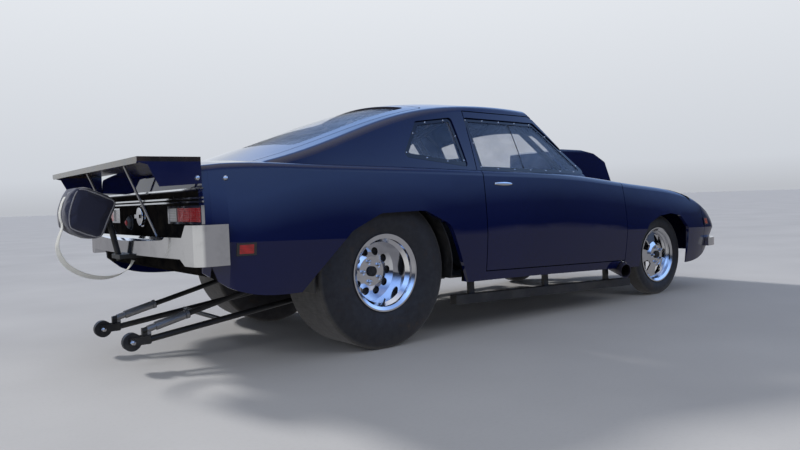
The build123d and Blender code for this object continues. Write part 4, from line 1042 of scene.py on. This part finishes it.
# Planes beside the car and over its slopes, from which rays are cast at the panes
SIDE_PLANE_Y, SLOPE_PLANE_LIFT = 1.1, 0.2


def rounded(corners, radius, gap):
    """Closed outline with round corners, drawn in by gap. Its count doesn't change with gap."""
    corners = [Vector(corner) for corner in corners]
    corner_r = max(radius - gap, MIN_CORNER_R)
    arcs = []
    for k, here in enumerate(corners):
        to_before = (corners[k - 1] - here).normalized()
        to_after = (corners[(k + 1) % len(corners)] - here).normalized()
        half = to_before.angle(to_after) / 2
        inward = (to_before + to_after).normalized() / sin(half)
        centre = here + inward * (gap + corner_r)
        start, end = ((way / tan(half) - inward) * corner_r for way in (to_before, to_after))
        turn = start.angle_signed(end)
        arcs.append([centre + Matrix.Rotation(-turn * j / ARC_STEPS, 2) @ start
                     for j in range(ARC_STEPS + 1)])
    points = []
    for k, arc in enumerate(arcs):
        after = (k + 1) % len(arcs)
        steps = max(2, ceil((corners[after] - corners[k]).length / EDGE_STEP))
        points += arc
        points += [arc[-1].lerp(arcs[after][0], j / steps) for j in range(1, steps)]
    return points


def side_plane(side):
    """Point on a plane beside the car for x and body height, and the way inwards."""
    return (lambda x, h: on_body(x, side * SIDE_PLANE_Y, h)), Vector((0, -side, 0))


def slope_plane(x, h, lean, falls_back):
    """The same for the hatch and the windshield: across the car, and along the slope."""
    run = -1 if falls_back else 1
    along = Vector((-cos(lean), 0, run * sin(lean)))
    out = Vector((run * sin(lean), 0, cos(lean)))
    origin = on_body(x, 0, h) + out * SLOPE_PLANE_LIFT
    return (lambda across, down: origin + along * down + Vector((0, across, 0))), -out


def laid_border(name, skin, plane, corners, radius, width, body):
    """Flat strip on a pane, along its edge."""
    place_of, way = plane
    points = []
    for gap, height in ((BORDER_INSET, 0.0), (BORDER_INSET, BORDER_THICK),
                        (width, BORDER_THICK), (width, 0.0)):
        ring = rounded(corners, radius, gap)
        points += [skin.hit(place_of(u, v), way, height + BORDER_LIFT)[0] for u, v in ring]
    mesh = outward(mesh_of(name, points, loft(4, len(ring), closed=True), False))
    new_piece(name, mesh, "border", body)


def spaced(points, pitch):
    """Points at even steps near pitch along a closed line."""
    runs = [(points[(k + 1) % len(points)] - p).length for k, p in enumerate(points)]
    total = sum(runs)
    count = round(total / pitch)
    chosen, walked, wanted = [], 0.0, 0.0
    for k, run in enumerate(runs):
        while len(chosen) < count and wanted <= walked + run:
            share = (wanted - walked) / run
            chosen.append(points[k].lerp(points[(k + 1) % len(points)], share))
            wanted += total / count
        walked += run
    return chosen


class CAR_OT_windows(bpy.types.Operator):
    """Dark borders round the panes, the side panes' screws and the door panes' ribs."""

    bl_idname = "car.windows"
    bl_label = "Window borders and screws"

    def execute(self, context):
        sizes = context.scene.car_sizes
        width = sizes.border_width
        fixed = Skin.of_node("fixed_glass")
        for side, tag in SIDES:
            plane = side_plane(side)
            door = Skin.of_node(f"door_glass_{tag}")
            for name, skin, corners, body in (
                    ("door", door, DOOR_PANE, f"door_{tag}"),
                    ("quarter", fixed, QUARTER_PANE, "body")):
                laid_border(f"{name}_border_{tag}", skin, plane, corners, SIDE_CORNER_R, width,
                            body)
                line = rounded(corners, SIDE_CORNER_R, width * SCREW_LINE)
                seats = self.seats(skin, plane, spaced(line, sizes.screw_pitch), BORDER_THICK)
                fasteners(f"{name}_screws_{tag}", seats, "screw", sizes.screw_head, body)
            self.add_rib(tag, door, plane)
        for name, skin, body, plane, corners, radius in (
                ("hatch_border", Skin.of_node("hatch_glass"), "hatch",
                 slope_plane(*HATCH_HEAD, HATCH_LEAN, True), HATCH_PANE, HATCH_CORNER_R),
                ("shield_border", fixed, "body",
                 slope_plane(*SHIELD_FOOT, SHIELD_LEAN, False), SHIELD_PANE, SHIELD_CORNER_R)):
            laid_border(name, skin, plane, corners, radius, width, body)
        return {"FINISHED"}

    def seats(self, skin, plane, spots, lift):
        place_of, way = plane
        return [skin.hit(place_of(u, v), way, lift) for u, v in spots]

    def add_rib(self, tag, skin, plane):
        """Thin upright stiffener on a door's pane."""
        spots = [(RIB_X, RIB_FOOT + k * RIB_STEP) for k in range(RIB_POINTS)]
        line = [place for place, _ in self.seats(skin, plane, spots, RIB_THICK / 2)]
        mesh = ribbon(f"door_rib_{tag}", line, RIB_WIDTH, RIB_THICK, Vector((1, 0, 0)))
        new_piece(f"door_rib_{tag}", mesh, "border", f"door_{tag}")


# Wheels

# Columns: wheel, hub point, y of the nut seats
WHEEL_SEATS = (
    ("rear_wheel", REAR_HUB, 0.676),
    ("front_wheel", FRONT_HUB, 0.739),
)
NUT_COUNT, NUT_CIRCLE_R = 5, 0.05715
# Valve of a rear rim: foot, counted from the axle, and the stem's lean, lengths and radius
VALVE_Y, VALVE_DROP = 0.778, 0.170
VALVE_LEAN, VALVE_LENGTHS, VALVE_R = (0.5, 0.86), (0.0, 0.018, 0.034), 0.0042
ROLLER_BOLT_WIDTH, ROLLER_REACH = 0.030, 0.15


class CAR_OT_wheels(bpy.types.Operator):
    """Lug nuts on the four wheels, the rear valves and the wheelie wheels' bolts."""

    bl_idname = "car.wheels"
    bl_label = "Lug nuts and valves"

    def execute(self, context):
        sizes = context.scene.car_sizes
        for wheel, hub, seat_y in WHEEL_SEATS:
            for side, tag in SIDES:
                body = f"{wheel}_{tag}"
                way = Vector((0, side, 0))
                seats = []
                for k in range(NUT_COUNT):
                    turn = 2 * pi * (k + 0.5) / NUT_COUNT
                    spot = Vector((cos(turn), 0, sin(turn))) * NUT_CIRCLE_R
                    seats.append((hub + way * seat_y + spot, way))
                fasteners(f"{body}_nuts", seats, "nut", sizes.nut_width, body)
                if wheel == "rear_wheel":
                    self.add_roller_bolts(tag, way)
                    self.add_valve(body, hub, side)
        return {"FINISHED"}

    def add_valve(self, body, hub, side):
        foot = hub + Vector((0, side * VALVE_Y, -VALVE_DROP))
        lean = Vector((0, side * VALVE_LEAN[0], VALVE_LEAN[1])).normalized()
        tube(f"{body}_valve", [foot + lean * run for run in VALVE_LENGTHS], VALVE_R, "trim", body)

    def add_roller_bolts(self, tag, way):
        """Bright bolt heads where a wheelie wheel's axle ends, on both sides of its fork."""
        low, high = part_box(f"wheelie_wheel_{tag}")
        middle = (Vector(low) + Vector(high)) / 2
        bars = Skin.of_node("wheelie_bars")
        seats = [(bars.hit(middle + out * ROLLER_REACH, -out)[0], out) for out in (way, -way)]
        fasteners(f"wheelie_bolts_{tag}", seats, "bolt", ROLLER_BOLT_WIDTH, "body")


# Tail and flanks

# Bolts on each side of the tail. Columns: name, node, x, z
SIDE_BOLTS = (("plate", "spoiler", -1.004, 0.915), ("quarter", "body_shell", -0.888, 0.912))
# Points beside the car and behind it from which rays are cast at its skin
BESIDE_Y, BEHIND_X = 1.2, -1.6
# Door pull: its rear end, length and fall, and its section as height and depth
HANDLE_X, HANDLE_Z, HANDLE_LENGTH, HANDLE_FALL, HANDLE_ROWS = 0.775, 0.862, 0.15, 0.004, 13
HANDLE_SECTION = ((-0.012, 0.0), (-0.011, 0.007), (-0.006, 0.012), (0.006, 0.012),
                  (0.011, 0.007), (0.012, 0.0))
# Cut-off switch: y and z, and the diameters of its plate, knob and screws
SWITCH_Y, SWITCH_Z = 0.246, 0.712
SWITCH_PLATE, SWITCH_KNOB, SWITCH_SCREW = 0.085, 0.044, 0.008
SWITCH_CIRCLE_R, SWITCH_KNOB_LIFT, SWITCH_SCREW_LIFT = 0.03, 0.012, 0.006


class CAR_OT_tail(bpy.types.Operator):
    """Bright bolts on the spoiler and the quarters, the cut-off switch and the door handles."""

    bl_idname = "car.tail"
    bl_label = "Tail bolts, cut-off switch and door handles"

    def execute(self, context):
        sizes = context.scene.car_sizes
        for side, tag in SIDES:
            for name, node, x, z in SIDE_BOLTS:
                seat = Skin.of_node(node).hit(at(x, side * BESIDE_Y, z), Vector((0, -side, 0)))
                fasteners(f"{name}_bolt_{tag}", [seat], "bolt", sizes.bolt_head, "body")
            self.add_handle(side, tag)
        self.add_switch()
        return {"FINISHED"}

    def add_handle(self, side, tag):
        """Pull handle near the door's rear edge, laid on the door's skin."""
        skin = Skin.of_node(f"door_{tag}")
        up = Vector((0, 0, 1))
        points, count = [], len(HANDLE_SECTION)
        for k in range(HANDLE_ROWS):
            share = k / (HANDLE_ROWS - 1)
            ease = sin(pi * min(max(share, 0.04), 0.96)) ** 0.35
            start = at(HANDLE_X + HANDLE_LENGTH * share, side * BESIDE_Y,
                       HANDLE_Z - HANDLE_FALL * share)
            place, normal = skin.hit(start, Vector((0, -side, 0)))
            points += [place + up * (a * ease) + normal * (b * ease + 0.0003)
                       for a, b in HANDLE_SECTION]
        faces = loft(HANDLE_ROWS, count) + [cap(0, count), cap(HANDLE_ROWS - 1, count)]
        mesh = outward(mesh_of(f"door_handle_{tag}", points, faces))
        new_piece(f"door_handle_{tag}", mesh, "chrome", f"door_{tag}")

    def add_switch(self):
        """Round plate with a red turning knob, on the tail beside the filler."""
        place, normal = Skin.of_node("tail_panel").hit(at(BEHIND_X, SWITCH_Y, SWITCH_Z),
                                                       Vector((1, 0, 0)))
        fasteners("switch_plate", [(place, normal)], "plate", SWITCH_PLATE, "body")
        knob = place + normal * SWITCH_KNOB_LIFT
        fasteners("switch_knob", [(knob, normal)], "knob", SWITCH_KNOB, "body")
        middle = place + normal * SWITCH_SCREW_LIFT
        screws = [(middle + Vector((0, y, z)) * SWITCH_CIRCLE_R, normal)
                  for y, z in ((1, 0), (-1, 0), (0, 1), (0, -1))]
        fasteners("switch_screws", screws, "plate_screw", SWITCH_SCREW, "body")


class CAR_OT_finishes(bpy.types.Operator):
    """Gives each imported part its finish."""

    bl_idname = "car.finishes"
    bl_label = "Finishes"

    def execute(self, context):
        for finish, (material, names) in make_finishes().items():
            FINISH[finish] = material
            for name in names:
                cover(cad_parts[name].data, finish)
        return {"FINISHED"}


class CAR_PT_panel(bpy.types.Panel):
    """Panel in the 3D view's sidebar with the sizes, the colours and a button for each step."""

    bl_label = "Race coupe"
    bl_idname = "CAR_PT_panel"
    bl_space_type = "VIEW_3D"
    bl_region_type = "UI"
    bl_category = "Race coupe"

    def draw(self, context):
        layout = self.layout
        for group in (context.scene.car_sizes, context.scene.car_colours):
            for name in group.bl_rna.properties.keys():
                if name not in ("rna_type", "name"):
                    layout.prop(group, name)
        for operator in OPERATORS:
            layout.operator(operator.bl_idname)


OPERATORS = (CAR_OT_stage, CAR_OT_finishes, CAR_OT_strap, CAR_OT_pack, CAR_OT_windows,
             CAR_OT_wheels, CAR_OT_tail)
CLASSES = (CarSizes, CarColours, *OPERATORS, CAR_PT_panel)


def register():
    for cls in CLASSES:
        bpy.utils.register_class(cls)
    bpy.types.Scene.car_sizes = bpy.props.PointerProperty(type=CarSizes)
    bpy.types.Scene.car_colours = bpy.props.PointerProperty(type=CarColours)


def unregister():
    del bpy.types.Scene.car_colours
    del bpy.types.Scene.car_sizes
    for cls in reversed(CLASSES):
        bpy.utils.unregister_class(cls)


def main():
    register()
    for operator in OPERATORS:
        group, name = operator.bl_idname.split(".")
        getattr(getattr(bpy.ops, group), name)()
    bpy.context.view_layer.update()


if __name__ == "__main__":
    main()
